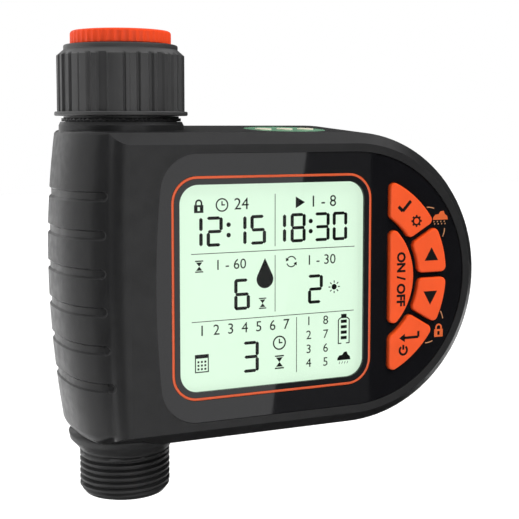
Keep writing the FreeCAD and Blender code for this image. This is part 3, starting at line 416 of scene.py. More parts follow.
def wrapped_cell(slot, colour):
    """Printed sleeve of a battery cell, in a second colour at its upper end."""
    material, tree, shader = start(slot)
    low, high = span("battery_cells")
    place = tree.nodes.new("ShaderNodeTexCoord")
    split = tree.nodes.new("ShaderNodeSeparateXYZ")
    tree.links.new(place.outputs["Object"], split.inputs[0])
    band_z = (low.z + high.z) / 2 + CELL_BAND_RISE
    band = between(tree, split.outputs["Z"], 0.0, 1.0, band_z * MM, (band_z + 0.2) * MM)
    sleeve = two_colours(tree, band, shade(colour, 0.9), CELL_BAND_COLOUR)
    tree.links.new(sleeve, shader.inputs["Base Color"])
    tree.links.new(between(tree, noise(tree, 2.0), 0.25, 0.4), shader.inputs["Roughness"])
    shader.inputs["Metallic"].default_value = 0.6
    grain(tree, shader, 1.5, 0.01, 0.3)
    return material


def woven(slot, colour):
    """Fine metal gauze, with painted shade in the openings between its wires."""
    material, tree, shader = start(slot)
    weave = tree.nodes.new("ShaderNodeMath")
    weave.operation = "MAXIMUM"
    for socket, axis in zip(weave.inputs, ("X", "Z")):
        tree.links.new(ridges(tree, axis, GAUZE_PITCH), socket)
    # Painted shade: the openings between the wires are coloured nearly black.
    tree.links.new(two_colours(tree, weave.outputs[0], shade(colour, 0.15), shade(colour, 1.1)),
                   shader.inputs["Base Color"])
    shader.inputs["Metallic"].default_value = 0.9
    tree.links.new(between(tree, noise(tree, 1.0), 0.3, 0.45), shader.inputs["Roughness"])
    relief(tree, shader, weave.outputs[0], RIDGE_DEPTH)
    return material


BLACK_SHELL = (0.0155, 0.0155, 0.016)
BLACK_NUT = (0.038, 0.038, 0.0385)
BLACK_PIPE = (0.024, 0.024, 0.0245)
BLACK_TRAY = (0.02, 0.02, 0.0205)
ORANGE_TRIM = (0.6, 0.085, 0.022)
ORANGE_KEY = (0.77, 0.078, 0.01)
ORANGE_REDUCER = (0.76, 0.058, 0.01)
ORANGE_SIGN = (0.6, 0.11, 0.028)
PALE_SIGN = (0.4, 0.19, 0.09)
BOARD_TOP = (0.17, 0.37, 0.23)
PAD_TOP = (0.95, 0.84, 0.67)
DISPLAY_BLACK = (0.004, 0.0045, 0.0045)
KEY_BLACK = (0.005, 0.0045, 0.004)


def printed(slot, colour, rough, depth, sheen):
    """Flat ink: hardly any gloss or grain."""
    return moulded(slot, colour, rough, cell=0.2, depth=depth, sheen=sheen)


def make_finishes():
    colours = {m["slot"]: m["base_color"] for m in frame["record"]["materials"]}
    return {
        "shell": moulded("shell", BLACK_SHELL, 0.33, sheen=0.26),
        "nut": moulded("nut", BLACK_NUT, 0.38),
        "pipe": moulded("pipe", BLACK_PIPE, 0.42, sheen=0.3),
        "tray": moulded("tray", BLACK_TRAY, 0.46),
        "panel_gloss": polished("panel_gloss", colours["panel_gloss"], 0.015),
        "window_clear": clear_window("window_clear"),
        "trim_orange": polished("trim_orange", ORANGE_TRIM, 0.2),
        "lcd_glass": painted_glow_display("lcd_glass", colours["lcd_glass"]),
        "white_plastic": moulded("white_plastic", colours["white_plastic"], 0.5, edge=1.1),
        "board_green": polished("board_green", colours["board_green"], 0.2),
        "switch_metal": metal("switch_metal", colours["switch_metal"], 0.3),
        "rubber_black": moulded("rubber_black", colours["rubber_black"], 0.7, cell=0.3, depth=0.05),
        "steel": metal("steel", colours["steel"], 0.28),
        "key_orange": moulded("key_orange", ORANGE_KEY, 0.5, edge=1.05, mottle=0.03, sheen=0.25),
        "reducer_orange": moulded("reducer_orange", ORANGE_REDUCER, 0.45, edge=1.2, mottle=0.05,
                                  sheen=0.25),
        "filter_mesh": woven("filter_mesh", colours["filter_mesh"]),
        "coil": striped("coil", colours["coil"], 0.35, "X", COIL_PITCH, 0.9),
        "cells": wrapped_cell("cells", colours["cells"]),
        "contacts": metal("contacts", colours["contacts"], 0.3),
        "sensor_board": polished("sensor_board", BOARD_TOP, 0.25),
        "sensor_pads": polished("sensor_pads", PAD_TOP, 0.35),
        "display_ink": printed("display_ink", DISPLAY_BLACK, 0.4, 0.005, 0.1),
        "key_ink": printed("key_ink", KEY_BLACK, 0.5, 0.01, 0.15),
        "panel_ink": printed("panel_ink", ORANGE_SIGN, 0.4, 0.01, 0.1),
        "panel_ink_pale": printed("panel_ink_pale", PALE_SIGN, 0.4, 0.01, 0.1),
    }


finishes = make_finishes()
for part in frame["record"]["subparts"]:
    piece = nodes[part["node"]]
    piece.data.materials.clear()
    piece.data.materials.append(finishes[part["material_slot"]])


# Meshes

SHARP_ANGLE = 32.0
EDGE_CUT = 0.25


def add_piece(name, bm, finish, slot, body, *stands_for):
    bmesh.ops.recalc_face_normals(bm, faces=bm.faces)
    mesh = bpy.data.meshes.new(name)
    bm.to_mesh(mesh)
    bm.free()
    add_mesh(name, mesh, finish, slot, body, *stands_for)


def add_mesh(name, mesh, finish, slot, body, *stands_for):
    mesh.shade_smooth()
    mesh.set_sharp_from_angle(angle=math.radians(SHARP_ANGLE))
    place_mesh(name, mesh, finish, slot, body, *stands_for)


def place_mesh(name, mesh, finish, slot, body, *stands_for):
    mesh.materials.clear()
    mesh.materials.append(finishes[finish])
    piece = bpy.data.objects.new(name, mesh)
    scene.collection.objects.link(piece)
    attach(piece, body)
    if stands_for:
        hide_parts(*stands_for)


def ring_mesh(profile, angles, reach):
    """Closed ring about the pipe axis; reach(r, z, angle) is the real radius of a profile point there."""
    bm = bmesh.new()
    rows = []
    for r, z in profile:
        row = []
        for a in angles:
            real = reach(r, z, a)
            row.append(bm.verts.new(Vector((real * math.cos(a), real * math.sin(a), z)) * MM))
        rows.append(row)
    count = len(angles)
    for upper, lower in zip(rows, rows[1:] + rows[:1]):
        for i in range(count):
            j = (i + 1) % count
            bm.faces.new((upper[i], upper[j], lower[j], lower[i]))
    return bm


def even_angles(count):
    return [math.tau * i / count for i in range(count)]


# Front shell, with the foot of its valley drawn in where the moulding is rounded

FOOT_X = -9.2
FOOT_Y = -21.7
FOOT_Z = -116.2
FOOT_REACH = 7.0
FOOT_HEIGHT = 6.0
FOOT_LIFT = 2.2


def make_front_shell():
    mesh = nodes["front_shell"].data.copy()
    for point in mesh.vertices:
        x, y, z = point.co / MM
        near = max(0.0, 1 - math.hypot(x - FOOT_X, y - FOOT_Y) / FOOT_REACH)
        low = max(0.0, 1 - abs(z - FOOT_Z) / FOOT_HEIGHT)
        point.co.z += FOOT_LIFT * MM * near * near * (3 - 2 * near) * low
    place_mesh("grip_front", mesh, "shell", "shell", "housing", "front_shell")


# Threads: pitch and form of three quarter inch and half inch pipe threads

PIPE_PITCH = 1.814
THREAD_STEPS = 8
GROOVE_SHARE = 0.42


def thread_rows(radius, top, bottom):
    """Profile points down a thread, close enough together to show its form."""
    count = max(2, round((top - bottom) / PIPE_PITCH * THREAD_STEPS))
    return [(radius, top + (bottom - top) * i / count) for i in range(count + 1)]


def thread_depth(z, angle, top, bottom):
    """0 on the crest, 1 at the bottom of the groove, fading out at both ends of the thread."""
    phase = (z / PIPE_PITCH - angle / math.tau) % 1.0
    groove = max(0.0, 1 - abs(phase - 0.5) / GROOVE_SHARE)
    fade = min(1.0, (top - z) / (PIPE_PITCH * 0.5), (z - bottom) / (PIPE_PITCH * 0.5))
    return groove * max(0.0, fade)


# Union nut

NUT_BORE_R = 13.22
NUT_LIP_R = 16.4
NUT_ROOT_R = 17.75
NUT_RIB_R = 18.4
NUT_FLANGE_R = 19.2
NUT_LIP_ROUND = 0.4
NUT_LIP_HEIGHT = 1.4
NUT_BEVEL_HEIGHT = 1.7
NUT_FLANGE_HEIGHT = 1.2
NUT_COLLAR_HEIGHT = 3.3
NUT_THROAT_R = 11.38
NUT_THREAD_DEPTH = 0.7
RIB_FLANK = 1.8
# Ribs of half a turn, seen from the front: where each one is and how wide, in degrees.
# On the real nut wide and narrow ribs take turns unevenly, and the other half repeats them.
NUT_FACES = 252.6
NUT_RIBS = ((-85, 5), (-76, 3), (-66, 4), (-54, 3.8), (-44, 6.9), (-35, 6), (-24, 4.4), (-10.2, 1.8),
            (-3.5, 9.5), (5.2, 1.5), (10.5, 5), (20.7, 6.8), (31.3, 2.7), (43.5, 4), (51, 4.5), (60, 3),
            (74, 12))


def nut_rib_places():
    places = []
    for half in (0, 180):
        for middle, wide in NUT_RIBS:
            places.append((math.radians(NUT_FACES + half + middle), math.radians(wide)))
    return places


def nut_angles(ribs):
    flank = math.radians(RIB_FLANK)
    angles = even_angles(150)
    edges = []
    for middle, wide in ribs:
        for turn in (-wide / 2 - flank, -wide / 2, wide / 2, wide / 2 + flank):
            edges.append((middle + turn) % math.tau)
    apart = math.radians(0.7)
    keep = [a for a in angles if all(abs(math.remainder(a - e, math.tau)) > apart for e in edges)]
    return sorted(set(keep + edges))


def make_nut():
    low, high = span("inlet_nut")
    top = high.z
    bottom = low.z
    ribs = nut_rib_places()
    flank = math.radians(RIB_FLANK)
    shoulder = top - NUT_LIP_HEIGHT
    flange = bottom + NUT_FLANGE_HEIGHT
    thread_top = top - 1.0
    thread_bottom = bottom + NUT_COLLAR_HEIGHT + 0.5

    def rib_share(angle):
        share = 0.0
        for middle, wide in ribs:
            off = abs(math.remainder(angle - middle, math.tau)) - wide / 2
            share = max(share, min(1.0, 1 - off / flank))
        return share

    def reach(r, z, angle):
        if r == NUT_ROOT_R:
            full = NUT_ROOT_R + (NUT_RIB_R - NUT_ROOT_R) * rib_share(angle)
            slope = (NUT_RIB_R - NUT_LIP_R) / NUT_BEVEL_HEIGHT
            return min(full, NUT_LIP_R + (shoulder - z) * slope)
        if r == NUT_BORE_R:
            return r + NUT_THREAD_DEPTH * thread_depth(z, angle, thread_top, thread_bottom)
        return r

    corner = NUT_LIP_ROUND * 0.3
    profile = [(NUT_BORE_R, top), (NUT_LIP_R - NUT_LIP_ROUND, top), (NUT_LIP_R - corner, top - corner)]
    profile += [(NUT_LIP_R, top - NUT_LIP_ROUND), (NUT_LIP_R, shoulder + 0.15)]
    bevels = (0.0, 0.3, 0.6, 0.9, 1.2, 1.45, 1.7, 1.9)
    profile += [(NUT_ROOT_R, shoulder - drop) for drop in bevels]
    profile += [(NUT_ROOT_R, (shoulder + flange) / 2), (NUT_ROOT_R, flange)]
    seat = bottom + NUT_COLLAR_HEIGHT
    profile += [(NUT_FLANGE_R - EDGE_CUT, flange), (NUT_FLANGE_R, flange - EDGE_CUT)]
    profile += [(NUT_FLANGE_R, bottom + EDGE_CUT), (NUT_FLANGE_R - EDGE_CUT, bottom)]
    profile += [(NUT_THROAT_R, bottom), (NUT_THROAT_R, seat), (NUT_BORE_R, seat)]
    profile += thread_rows(NUT_BORE_R, thread_top, thread_bottom)[::-1]
    bm = ring_mesh(profile, nut_angles(ribs), reach)
    add_piece("union_nut", bm, "nut", "nut", "nut", "inlet_nut")


# Orange reducer

REDUCER_R = 14.5
REDUCER_COLLAR_HEIGHT = 3.9
REDUCER_ROUND = 0.9
REDUCER_SHANK_R = 13.12
REDUCER_CHAMFER = 0.8
REDUCER_BORE_R = 10.48
REDUCER_BORE_DEPTH = 11.5
REDUCER_WATERWAY_R = 7.5
REDUCER_THREAD_DEPTH = 1.0
SCALLOPS = 44
SCALLOP_DEPTH = 0.26


def make_reducer():
    low, high = span("thread_reducer")
    top = high.z
    bottom = low.z
    collar = top - REDUCER_COLLAR_HEIGHT
    floor = top - REDUCER_BORE_DEPTH
    shank_top = collar - REDUCER_CHAMFER
    shank_bottom = bottom + REDUCER_CHAMFER

    def reach(r, z, angle):
        if r > REDUCER_SHANK_R + 0.3 and z < top - 0.02:
            share = min(1.0, (top - z) / REDUCER_ROUND)
            wave = 0.5 - 0.5 * math.cos(SCALLOPS * angle)
            return r - SCALLOP_DEPTH * share * wave ** 0.6
        if r == REDUCER_SHANK_R:
            return r - REDUCER_THREAD_DEPTH * thread_depth(z, angle, shank_top, shank_bottom)
        if r == REDUCER_BORE_R:
            return r - REDUCER_THREAD_DEPTH * thread_depth(z, angle, top, floor)
        return r

    rim = []
    for i in range(7):
        a = math.pi / 2 * i / 6
        rim.append((REDUCER_R - REDUCER_ROUND + REDUCER_ROUND * math.sin(a),
                    top - REDUCER_ROUND + REDUCER_ROUND * math.cos(a)))
    profile = rim + [(REDUCER_R, collar + EDGE_CUT), (REDUCER_R - EDGE_CUT, collar)]
    profile += [(REDUCER_SHANK_R, collar)]
    profile += thread_rows(REDUCER_SHANK_R, shank_top, shank_bottom)
    profile += [(REDUCER_SHANK_R - REDUCER_CHAMFER, bottom), (REDUCER_WATERWAY_R, bottom)]
    profile += [(REDUCER_WATERWAY_R, floor)]
    profile += thread_rows(REDUCER_BORE_R, top, floor)[::-1]
    bm = ring_mesh(profile, even_angles(SCALLOPS * 8), reach)
    add_piece("threaded_reducer", bm, "reducer_orange", "reducer_orange", "reducer", "thread_reducer")


# Outlet thread and neck ring, worked into a copy of the pipe

OUTLET_CREST_R = 13.22
OUTLET_ROOT_R = 12.15
OUTLET_GROOVE = 1.25
OUTLET_TURNS = 6.2
OUTLET_START_RISE = 13.1
GROOVE_STEPS = 72
GROOVE_FOOT = 0.28
GROOVE_PROUD = 0.35
GROOVE_FLARE = 1.25
GROOVE_RUNOUT = 0.2
NECK_RING_GAP = 0.15
NECK_RING_R = 16.6
NECK_RING_STEP = 0.5
NECK_RING_BORE_R = 13.0


def helix_cutter():
    """V-shaped groove that winds down the outlet and runs out of the pipe at both ends."""
    bm = bmesh.new()
    total = round(OUTLET_TURNS * GROOVE_STEPS)
    start_z = span("valve_body")[0].z + OUTLET_START_RISE - PIPE_PITCH * 0.9
    wide = OUTLET_GROOVE / 2 * GROOVE_FLARE
    foot = GROOVE_FOOT / 2
    mouth_r = OUTLET_CREST_R + GROOVE_PROUD
    section = ((mouth_r, wide), (OUTLET_ROOT_R, foot), (OUTLET_ROOT_R, -foot), (mouth_r, -wide))
    rings = []
    for i in range(total + 1):
        a = -math.tau * i / GROOVE_STEPS
        z = start_z - PIPE_PITCH * i / GROOVE_STEPS
        ease = max(0.0, 1 - min(i, total - i) / (GROOVE_STEPS * GROOVE_RUNOUT))
        out = ease * (OUTLET_CREST_R - OUTLET_ROOT_R + 0.3)
        ring = []
        for r, rise in section:
            reach = r + out
            ring.append(bm.verts.new(Vector((reach * math.cos(a), reach * math.sin(a), z + rise)) * MM))
        rings.append(ring)
    for upper, lower in zip(rings, rings[1:]):
        for k in range(4):
            m = (k + 1) % 4
            bm.faces.new((upper[k], upper[m], lower[m], lower[k]))
    bm.faces.new(rings[0])
    bm.faces.new(rings[-1])
    bmesh.ops.recalc_face_normals(bm, faces=bm.faces)
    mesh = bpy.data.meshes.new("thread_groove")
    bm.to_mesh(mesh)
    bm.free()
    return mesh


def neck_ring():
    """Stepped ring of the pipe between the nut and the housing's collar."""
    top = span("inlet_nut")[0].z - NECK_RING_GAP
    bottom = span("front_shell")[1].z + 0.02
    step = (top + bottom) / 2
    inner = NECK_RING_R - NECK_RING_STEP
    profile = [(NECK_RING_BORE_R, top), (NECK_RING_R, top), (NECK_RING_R, step)]
    profile += [(inner, step - 0.15), (inner, bottom), (NECK_RING_BORE_R, bottom)]
    bm = ring_mesh(profile, even_angles(96), lambda r, z, angle: r)
    bmesh.ops.recalc_face_normals(bm, faces=bm.faces)
    return bm


def make_outlet():
    bm = bmesh.new()
    bm.from_mesh(nodes["valve_body"].data)
    bmesh.ops.remove_doubles(bm, verts=bm.verts, dist=1e-7)
    pipe = bpy.data.meshes.new("threaded_pipe")
    bm.to_mesh(pipe)
    bm.free()
    whole = bpy.data.objects.new("threaded_pipe_blank", pipe)
    groove = bpy.data.objects.new("thread_groove", helix_cutter())
    for o in (whole, groove):
        scene.collection.objects.link(o)
    cut = whole.modifiers.new("cut", "BOOLEAN")
    cut.operation = "DIFFERENCE"
    cut.solver = "EXACT"
    cut.object = groove
    bpy.context.view_layer.update()
    shaped = whole.evaluated_get(bpy.context.evaluated_depsgraph_get())
    mesh = bpy.data.meshes.new_from_object(shaped)
    for o in (whole, groove):
        bpy.data.objects.remove(o)
    bm = neck_ring()
    bm.from_mesh(mesh)
    bm.to_mesh(mesh)
    bm.free()
    mesh.name = "threaded_pipe"
    add_mesh("threaded_pipe", mesh, "pipe", "pipe", "housing", "valve_body")


# Orange line round the display: a slim domed bead on the node's middle line

TRIM_WIDTH = 0.72
TRIM_BAND = 0.9
TRIM_CORNER_R = 7.2
TRIM_SINK = 0.35


def trim_line():
    """Points of the rounded frame's middle line, each with the direction that faces outwards."""
    low, high = span("display_trim")
    inset = TRIM_BAND / 2 + TRIM_CORNER_R
    left, right = low.x + inset, high.x - inset
    foot, head = low.z + inset, high.z - inset
    line = []
    for x, z, first in ((right, head, 0), (left, head, 90), (left, foot, 180), (right, foot, 270)):
        for i in range(13):
            a = math.radians(first + 90 * i / 12)
            out = Vector((math.cos(a), math.sin(a)))
            line.append((Vector((x, z)) + out * TRIM_CORNER_R, out))
    return line


def make_trim():
    face = span("display_trim")[0].y
    half = ((1, TRIM_SINK), (1, 0.06), (0.75, 0.015))
    section = [(-across, sunk) for across, sunk in half] + [(0, 0)] + list(reversed(half))
    bm = bmesh.new()
    rings = []
    for middle, out in trim_line():
        ring = []
        for across, sunk in section:
            place = middle + out * across * TRIM_WIDTH / 2
            ring.append(bm.verts.new(Vector((place.x, face + sunk, place.y)) * MM))
        rings.append(ring)
    for one, two in zip(rings, rings[1:] + rings[:1]):
        for k in range(len(section)):
            m = (k + 1) % len(section)
            bm.faces.new((one[k], two[k], two[m], one[m]))
    add_piece("trim_line", bm, "trim_orange", "trim_orange", "housing", "display_trim")


# Flat prints and display graphics

CAPITAL_SHARE = 0.7


class Print:
    """Thin shapes on a plane that faces the front, laid out in millimetres about a centre."""

    def __init__(self, x, z, front, back):
        self.bm = bmesh.new()
        self.x = x
        self.z = z
        self.front = front
        self.back = back

    def shape(self, points):
        layers = []
        for y in (self.front, self.back):
            layers.append([self.bm.verts.new(Vector((self.x + x, y, self.z + z)) * MM) for x, z in points])
        front, back = layers
        self.bm.faces.new(front)
        self.bm.faces.new(list(reversed(back)))
        for i in range(len(points)):
            j = (i + 1) % len(points)
            self.bm.faces.new((front[j], front[i], back[i], back[j]))

    def box(self, x0, x1, z0, z1):
        self.shape([(x0, z0), (x1, z0), (x1, z1), (x0, z1)])

    def stroke(self, a, b, width):
        way = Vector(b) - Vector(a)
        side = Vector((-way.y, way.x)).normalized() * width / 2
        self.shape([Vector(a) - side, Vector(b) - side, Vector(b) + side, Vector(a) + side])

    def path(self, points, width):
        for a, b in zip(points, points[1:]):
            self.stroke(a, b, width)

    def disc(self, x, z, radius):
        self.shape([(x + radius * math.cos(a), z + radius * math.sin(a)) for a in even_angles(20)])

    def arc(self, x, z, radius, width, first, last, count=14):
        """A band round part of a circle, in degrees anticlockwise."""
        turns = [math.radians(first + (last - first) * i / count) for i in range(count + 1)]
        inner = radius - width / 2
        outer = radius + width / 2
        for a, b in zip(turns, turns[1:]):
            self.shape([(x + inner * math.cos(a), z + inner * math.sin(a)),
                        (x + outer * math.cos(a), z + outer * math.sin(a)),
                        (x + outer * math.cos(b), z + outer * math.sin(b)),
                        (x + inner * math.cos(b), z + inner * math.sin(b))])

    def text(self, words, x, z, height, turn=0.0, bold=0.0):
        """Plain letters or numbers, centred, with this height of a capital."""
        curve = bpy.data.curves.new("letters", "FONT")
        curve.body = words
        curve.align_x = "CENTER"
        curve.align_y = "CENTER"
        curve.size = height / CAPITAL_SHARE
        curve.resolution_u = 3
        curve.extrude = (self.back - self.front) / 2
        curve.offset = height * bold
        holder = bpy.data.objects.new("letters", curve)
        mesh = bpy.data.meshes.new_from_object(holder)
        bpy.data.objects.remove(holder)
        place = Matrix.Translation(((self.x + x), (self.front + self.back) / 2, (self.z + z)))
        stand = Euler((math.pi / 2, 0, 0)).to_matrix().to_4x4()
        spin = Matrix.Rotation(math.radians(turn), 4, "Z")
        mesh.transform(Matrix.Scale(MM, 4) @ place @ stand @ spin)
        self.bm.from_mesh(mesh)
        bpy.data.meshes.remove(mesh)

    def finish(self, name, finish, slot, body):
        add_piece(name, self.bm, finish, slot, body)


# Pictures used more than once

def draw_clock(ink, x, z, radius):
    ink.arc(x, z, radius, radius * 0.22, 0, 360, 28)
    ink.stroke((x, z - radius * 0.1), (x, z + radius * 0.62), radius * 0.2)
    ink.stroke((x - radius * 0.1, z), (x + radius * 0.5, z), radius * 0.2)


def draw_hourglass(ink, x, z, size):
    wide = size * 0.36
    for end in (-1, 1):
        ink.box(x - wide, x + wide, *sorted((z + end * size / 2, z + end * size * 0.4)))
        rim = z + end * size * 0.34
        side = wide * 0.75 * end
        ink.shape([(x - side, rim), (x, z), (x + side, rim)])


def draw_padlock(ink, x, z, width, height):
    body = height * 0.58
    hole = width * 0.13
    left = x - width / 2
    right = x + width / 2
    top = z - height / 2 + body
    bottom = z - height / 2
    slot_top = top - body * 0.25
    slot_bottom = bottom + body * 0.25
    ink.box(left, x - hole, bottom, top)
    ink.box(x + hole, right, bottom, top)
    ink.box(x - hole, x + hole, slot_top, top)
    ink.box(x - hole, x + hole, bottom, slot_bottom)
    radius = width * 0.3
    line = width * 0.17
    spring = z + height / 2 - radius - line / 2
    ink.arc(x, spring, radius, line, 0, 180)
    for side in (-1, 1):
        ink.box(x + side * radius - line / 2, x + side * radius + line / 2, top, spring)


def draw_cloud(ink, x, z, width, height):
    """Low cloud with a flat foot and two crowns."""
    foot = z - height / 2
    points = [(x - width * 0.5, foot), (x + width * 0.5, foot), (x + width * 0.46, foot + height * 0.4)]
    points += [(x + width * 0.3, foot + height * 0.62), (x + width * 0.22, foot + height)]
    points += [(x + width * 0.02, foot + height * 0.96), (x - width * 0.12, foot + height * 0.62)]
    points += [(x - width * 0.34, foot + height * 0.58), (x - width * 0.46, foot + height * 0.3)]
    ink.shape(points)


def draw_gear(ink, x, z, radius):
    ink.arc(x, z, radius * 0.62, radius * 0.3, 0, 360, 24)
    for i in range(8):
        a = math.tau * i / 8
        near = (x + radius * 0.7 * math.cos(a), z + radius * 0.7 * math.sin(a))
        tip = (x + radius * math.cos(a), z + radius * math.sin(a))
        ink.stroke(near, tip, radius * 0.32)


def draw_cycle(ink, x, z, radius):
    """Two arrows that chase each other round."""
    for start_angle in (20, 200):
        ink.arc(x, z, radius, radius * 0.22, start_angle, start_angle + 125)
        a = math.radians(start_angle + 125)
        out = Vector((math.cos(a), math.sin(a)))
        ahead = Vector((-out.y, out.x))
        tip = Vector((x, z)) + out * radius
        ink.shape([tip - out * radius * 0.42, tip + out * radius * 0.42, tip + ahead * radius * 0.6])


def draw_sun(ink, x, z, radius):
    ink.disc(x, z, radius * 0.45)
    for i in range(8):
        a = math.tau * i / 8
        ink.stroke((x + radius * 0.65 * math.cos(a), z + radius * 0.65 * math.sin(a)),
                   (x + radius * math.cos(a), z + radius * math.sin(a)), radius * 0.16)


# Liquid crystal display: segment numbers, dividers and plain signs

SEGMENTS = {"0": "abcdef", "1": "bc", "2": "abged", "3": "abgcd", "4": "fgbc", "5": "afgcd",
            "6": "afgedc", "7": "abc", "8": "abcdefg", "9": "abcdfg"}
DIGIT_WIDE = 4.9
DIGIT_HIGH = 8.5
UPRIGHT = 1.02
LEVEL = 0.9


def draw_digit(ink, value, right, top, high=DIGIT_HIGH):
    """One seven-segment number; right is its outer right edge."""
    left = right - DIGIT_WIDE
    half = high / 2
    gap = 0.22
    cap = 0.45
    bent = UPRIGHT / 2
    flat = LEVEL / 2
    for segment in SEGMENTS[value]:
        if segment in "agd":
            z = top - flat - {"a": 0, "g": half - flat, "d": high - LEVEL}[segment]
            x0 = left + 0.35 if segment == "g" else left + 0.15
            x1 = right - 0.35 if segment == "g" else right - 0.75
            ink.shape([(x0, z), (x0 + cap, z - flat), (x1 - cap, z - flat), (x1, z),
                       (x1 - cap, z + flat), (x0 + cap, z + flat)])
        else:
            x = (right if segment in "bc" else left + UPRIGHT) - bent
            z1 = top - (gap if segment in "bf" else half + gap)
            z0 = top - (half - gap if segment in "bf" else high - gap)
            ink.shape([(x, z0), (x + bent, z0 + cap), (x + bent, z1 - cap), (x, z1),
                       (x - bent, z1 - cap), (x - bent, z0 + cap)])


def draw_time(ink, digits, rights, colon, top):
    for value, right in zip(digits, rights):
        draw_digit(ink, value, right, top)
    for level in (0.29, 0.64):
        ink.disc(colon, top - DIGIT_HIGH * level, 0.66)


def draw_drop(ink, x, top, bottom, width):
    radius = width / 2
    centre = bottom + radius
    points = [(x, top)]
    for i in range(23):
        a = math.radians(154 + 232 * i / 22)
        points.append((x + radius * math.cos(a), centre + radius * math.sin(a)))
    ink.shape(points)


def draw_battery(ink, left, right, bottom, top):
    line = 0.32
    x = (left + right) / 2
    shell_top = top - 1.1
    ink.box(x - 0.9, x + 0.9, shell_top - 0.1, top)
    ink.box(left, left + line, bottom, shell_top - 0.6)
    ink.box(right - line, right, bottom, shell_top - 0.6)
    ink.path([(left + line / 2, shell_top - 0.6), (left + 0.9, shell_top), (right - 0.9, shell_top),
              (right - line / 2, shell_top - 0.6)], line)
    ink.box(left, left + 1.2, bottom, bottom + line)
    ink.box(right - 1.2, right, bottom, bottom + line)
    for i in range(4):
        z = shell_top - 1.6 - i * 1.65
        ink.box(x - 1.0, x + 1.0, z, z + 0.95)


def draw_calendar(ink, x, z, width, height):
    line = 0.3
    head = 1.1
    dot = 0.28
    left = x - width / 2
    right = x + width / 2
    low = z - height / 2
    top = z + height / 2
    ink.box(left, right, top - head, top)
    ink.box(left, right, low, low + line)
    ink.box(left, left + line, low, top - head)
    ink.box(right - line, right, low, top - head)
    for column in range(3):
        for row in range(3):
            cx = left + width * (column + 1) / 4
            cz = low + (height - head) * (row + 1) / 4
            ink.box(cx - dot, cx + dot, cz - dot, cz + dot)


def make_display():
    """Numbers and signs, laid out in millimetres about the middle of the window."""
    low, high = span("display_window")
    x = (low.x + high.x) / 2
    z = (low.z + high.z) / 2
    glass = span("display_glass")[0].y
    room = glass - high.y
    bold = Print(x, z, high.y + room * 0.45, glass - room * 0.05)
    draw_time(bold, "1215", (-21.5, -15.4, -8.05, -1.92), -13.6, 20.05)
    draw_time(bold, "1830", (4.5, 10.85, 18.76, 24.69), 12.5, 20.15)
    draw_digit(bold, "6", -7.0, 1.92, 9.0)
    draw_digit(bold, "2", 16.6, 1.83, 8.6)
    draw_digit(bold, "3", -4.2, -16.4, 9.1)
    draw_drop(bold, -2.25, 7.5, -1.25, 5.3)
    draw_padlock(bold, -22.65, 23.1, 2.8, 3.8)
    draw_battery(bold, 21.75, 25.75, -19.6, -10.6)
    draw_cloud(bold, 23.8, -23.3, 4.5, 2.5)
    for i in range(4):
        bold.stroke((22.5 + i * 0.9, -25.0), (22.2 + i * 0.9, -25.7), 0.16)
    bold.finish("display_numbers", "display_ink", "lcd_glass", "housing")
    fine = Print(x, z, high.y + room * 0.5, glass - room * 0.1)
    line = 0.2
    for x0, x1, level in ((-25.0, 27.2, 9.63), (-24.9, 27.1, -9.65)):
        fine.box(x0, x1, level - line / 2, level + line / 2)
    for across, z0, z1 in ((0.97, 10.8, 25.95), (0.99, -8.3, 8.2), (7.97, -26.8, -10.4)):
        fine.box(across - line / 2, across + line / 2, z0, z1)
    draw_clock(fine, -15.6, 23.25, 1.75)
    fine.text("24", -9.6, 23.25, 3.3)
    fine.shape([(7.6, 21.6), (10.6, 23.3), (7.6, 25.0)])
    fine.text("1 - 8", 16.6, 23.3, 3.3)
    draw_hourglass(fine, -22.6, 6.1, 3.4)
    fine.text("1 - 60", -13.0, 6.1, 2.9)
    draw_cycle(fine, 6.2, 6.05, 1.5)
    fine.text("1 - 30", 16.0, 6.05, 2.9)
    draw_hourglass(fine, -3.0, -5.6, 3.2)
    draw_sun(fine, 20.4, -2.2, 1.9)
    for i in range(7):
        fine.text(str(i + 1), -21.8 + i * 4.4, -12.4, 3.0)
    draw_clock(fine, 2.4, -17.6, 1.9)
    draw_hourglass(fine, 2.4, -23.3, 4.0)
    draw_calendar(fine, -21.9, -21.6, 4.2, 5.2)
    for i in range(4):
        fine.text(str(i + 1), 12.0, -12.0 - i * 4.18, 2.6)
        fine.text(str(8 - i), 17.6, -12.1 - i * 4.18, 2.6)
    fine.finish("display_signs", "display_ink", "lcd_glass", "housing")


# Signs on the keys and on the panel, laid out in millimetres about the centre of the round end

PRINT_PROUD = 0.015
PRINT_SUNK = 0.02


def round_end_centre():
    low, high = span("front_panel")
    radius = (high.z - low.z) / 2
    return high.x - radius, (low.z + high.z) / 2


def print_on(node):
    """A print on the front face of a key or of the panel."""
    x, z = round_end_centre()
    face = span(node)[0].y
    return Print(x, z, face - PRINT_PROUD, face + PRINT_SUNK)


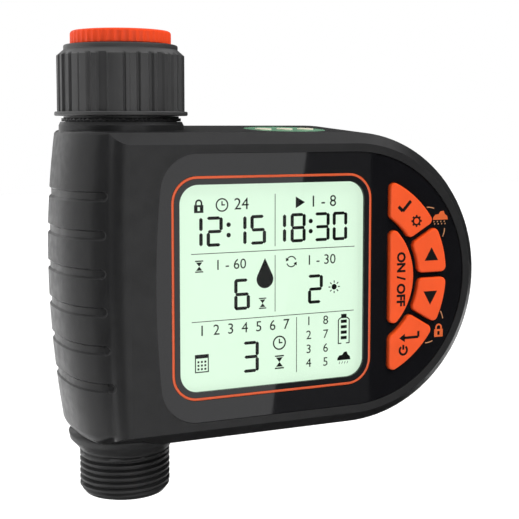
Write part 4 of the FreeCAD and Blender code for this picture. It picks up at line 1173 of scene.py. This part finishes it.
def make_key_signs():
    ok = print_on("button_ok")
    ok.path([(13.9, 21.3), (15.4, 19.9), (18.2, 22.9)], 1.0)
    draw_gear(ok, 20.3, 16.75, 1.85)
    ok.finish("sign_ok", "key_ink", "key_orange", "ok_key")
    up = print_on("button_up")
    up.shape([(23.35, 4.45), (28.2, 4.45), (25.8, 8.5)])
    up.finish("sign_up", "key_ink", "key_orange", "up_key")
    down = print_on("button_down")
    down.shape([(23.1, -4.98), (25.5, -9.2), (28.0, -4.98)])
    down.finish("sign_down", "key_ink", "key_orange", "down_key")
    esc = print_on("button_esc")
    esc.path([(21.4, -17.0), (21.4, -18.8), (16.2, -18.8)], 0.8)
    esc.shape([(16.6, -17.5), (16.6, -20.1), (14.6, -18.8)])
    esc.arc(16.1, -22.6, 1.3, 0.7, 125, 415, 20)
    esc.stroke((16.1, -22.4), (16.1, -20.9), 0.7)
    esc.finish("sign_esc", "key_ink", "key_orange", "esc_key")
    manual = print_on("button_manual")
    manual.text("ON / OFF", 14.9, -0.7, 2.75, -90.0, 0.06)
    manual.finish("sign_manual", "key_ink", "key_orange", "manual_key")


def make_panel_signs():
    signs = print_on("front_panel")
    draw_cloud(signs, 29.6, 18.1, 5.4, 2.7)
    draw_padlock(signs, 29.5, -17.6, 3.1, 4.1)
    signs.finish("panel_signs", "panel_ink", "trim_orange", "housing")
    marks = print_on("front_panel")
    for row in range(2):
        for i in range(4):
            left = 27.4 + i * 1.25 + row * 0.3
            marks.stroke((left, 16.4 - row * 0.7), (left - 0.2, 16.0 - row * 0.7), 0.3)
    for cx, cz, radius, first, last in ((25.0, 14.3, 6.4, 69, 93), (25.0, 14.3, 6.2, -27, -2),
                                        (24.9, -14.8, 6.1, 7, 31), (24.9, -14.8, 6.4, -92, -68)):
        marks.arc(cx, cz, radius, 0.32, first, last, 6)
    marks.finish("panel_marks", "panel_ink_pale", "trim_orange", "housing")


make_front_shell()
make_nut()
make_reducer()
make_outlet()
make_trim()
make_display()
make_key_signs()
make_panel_signs()
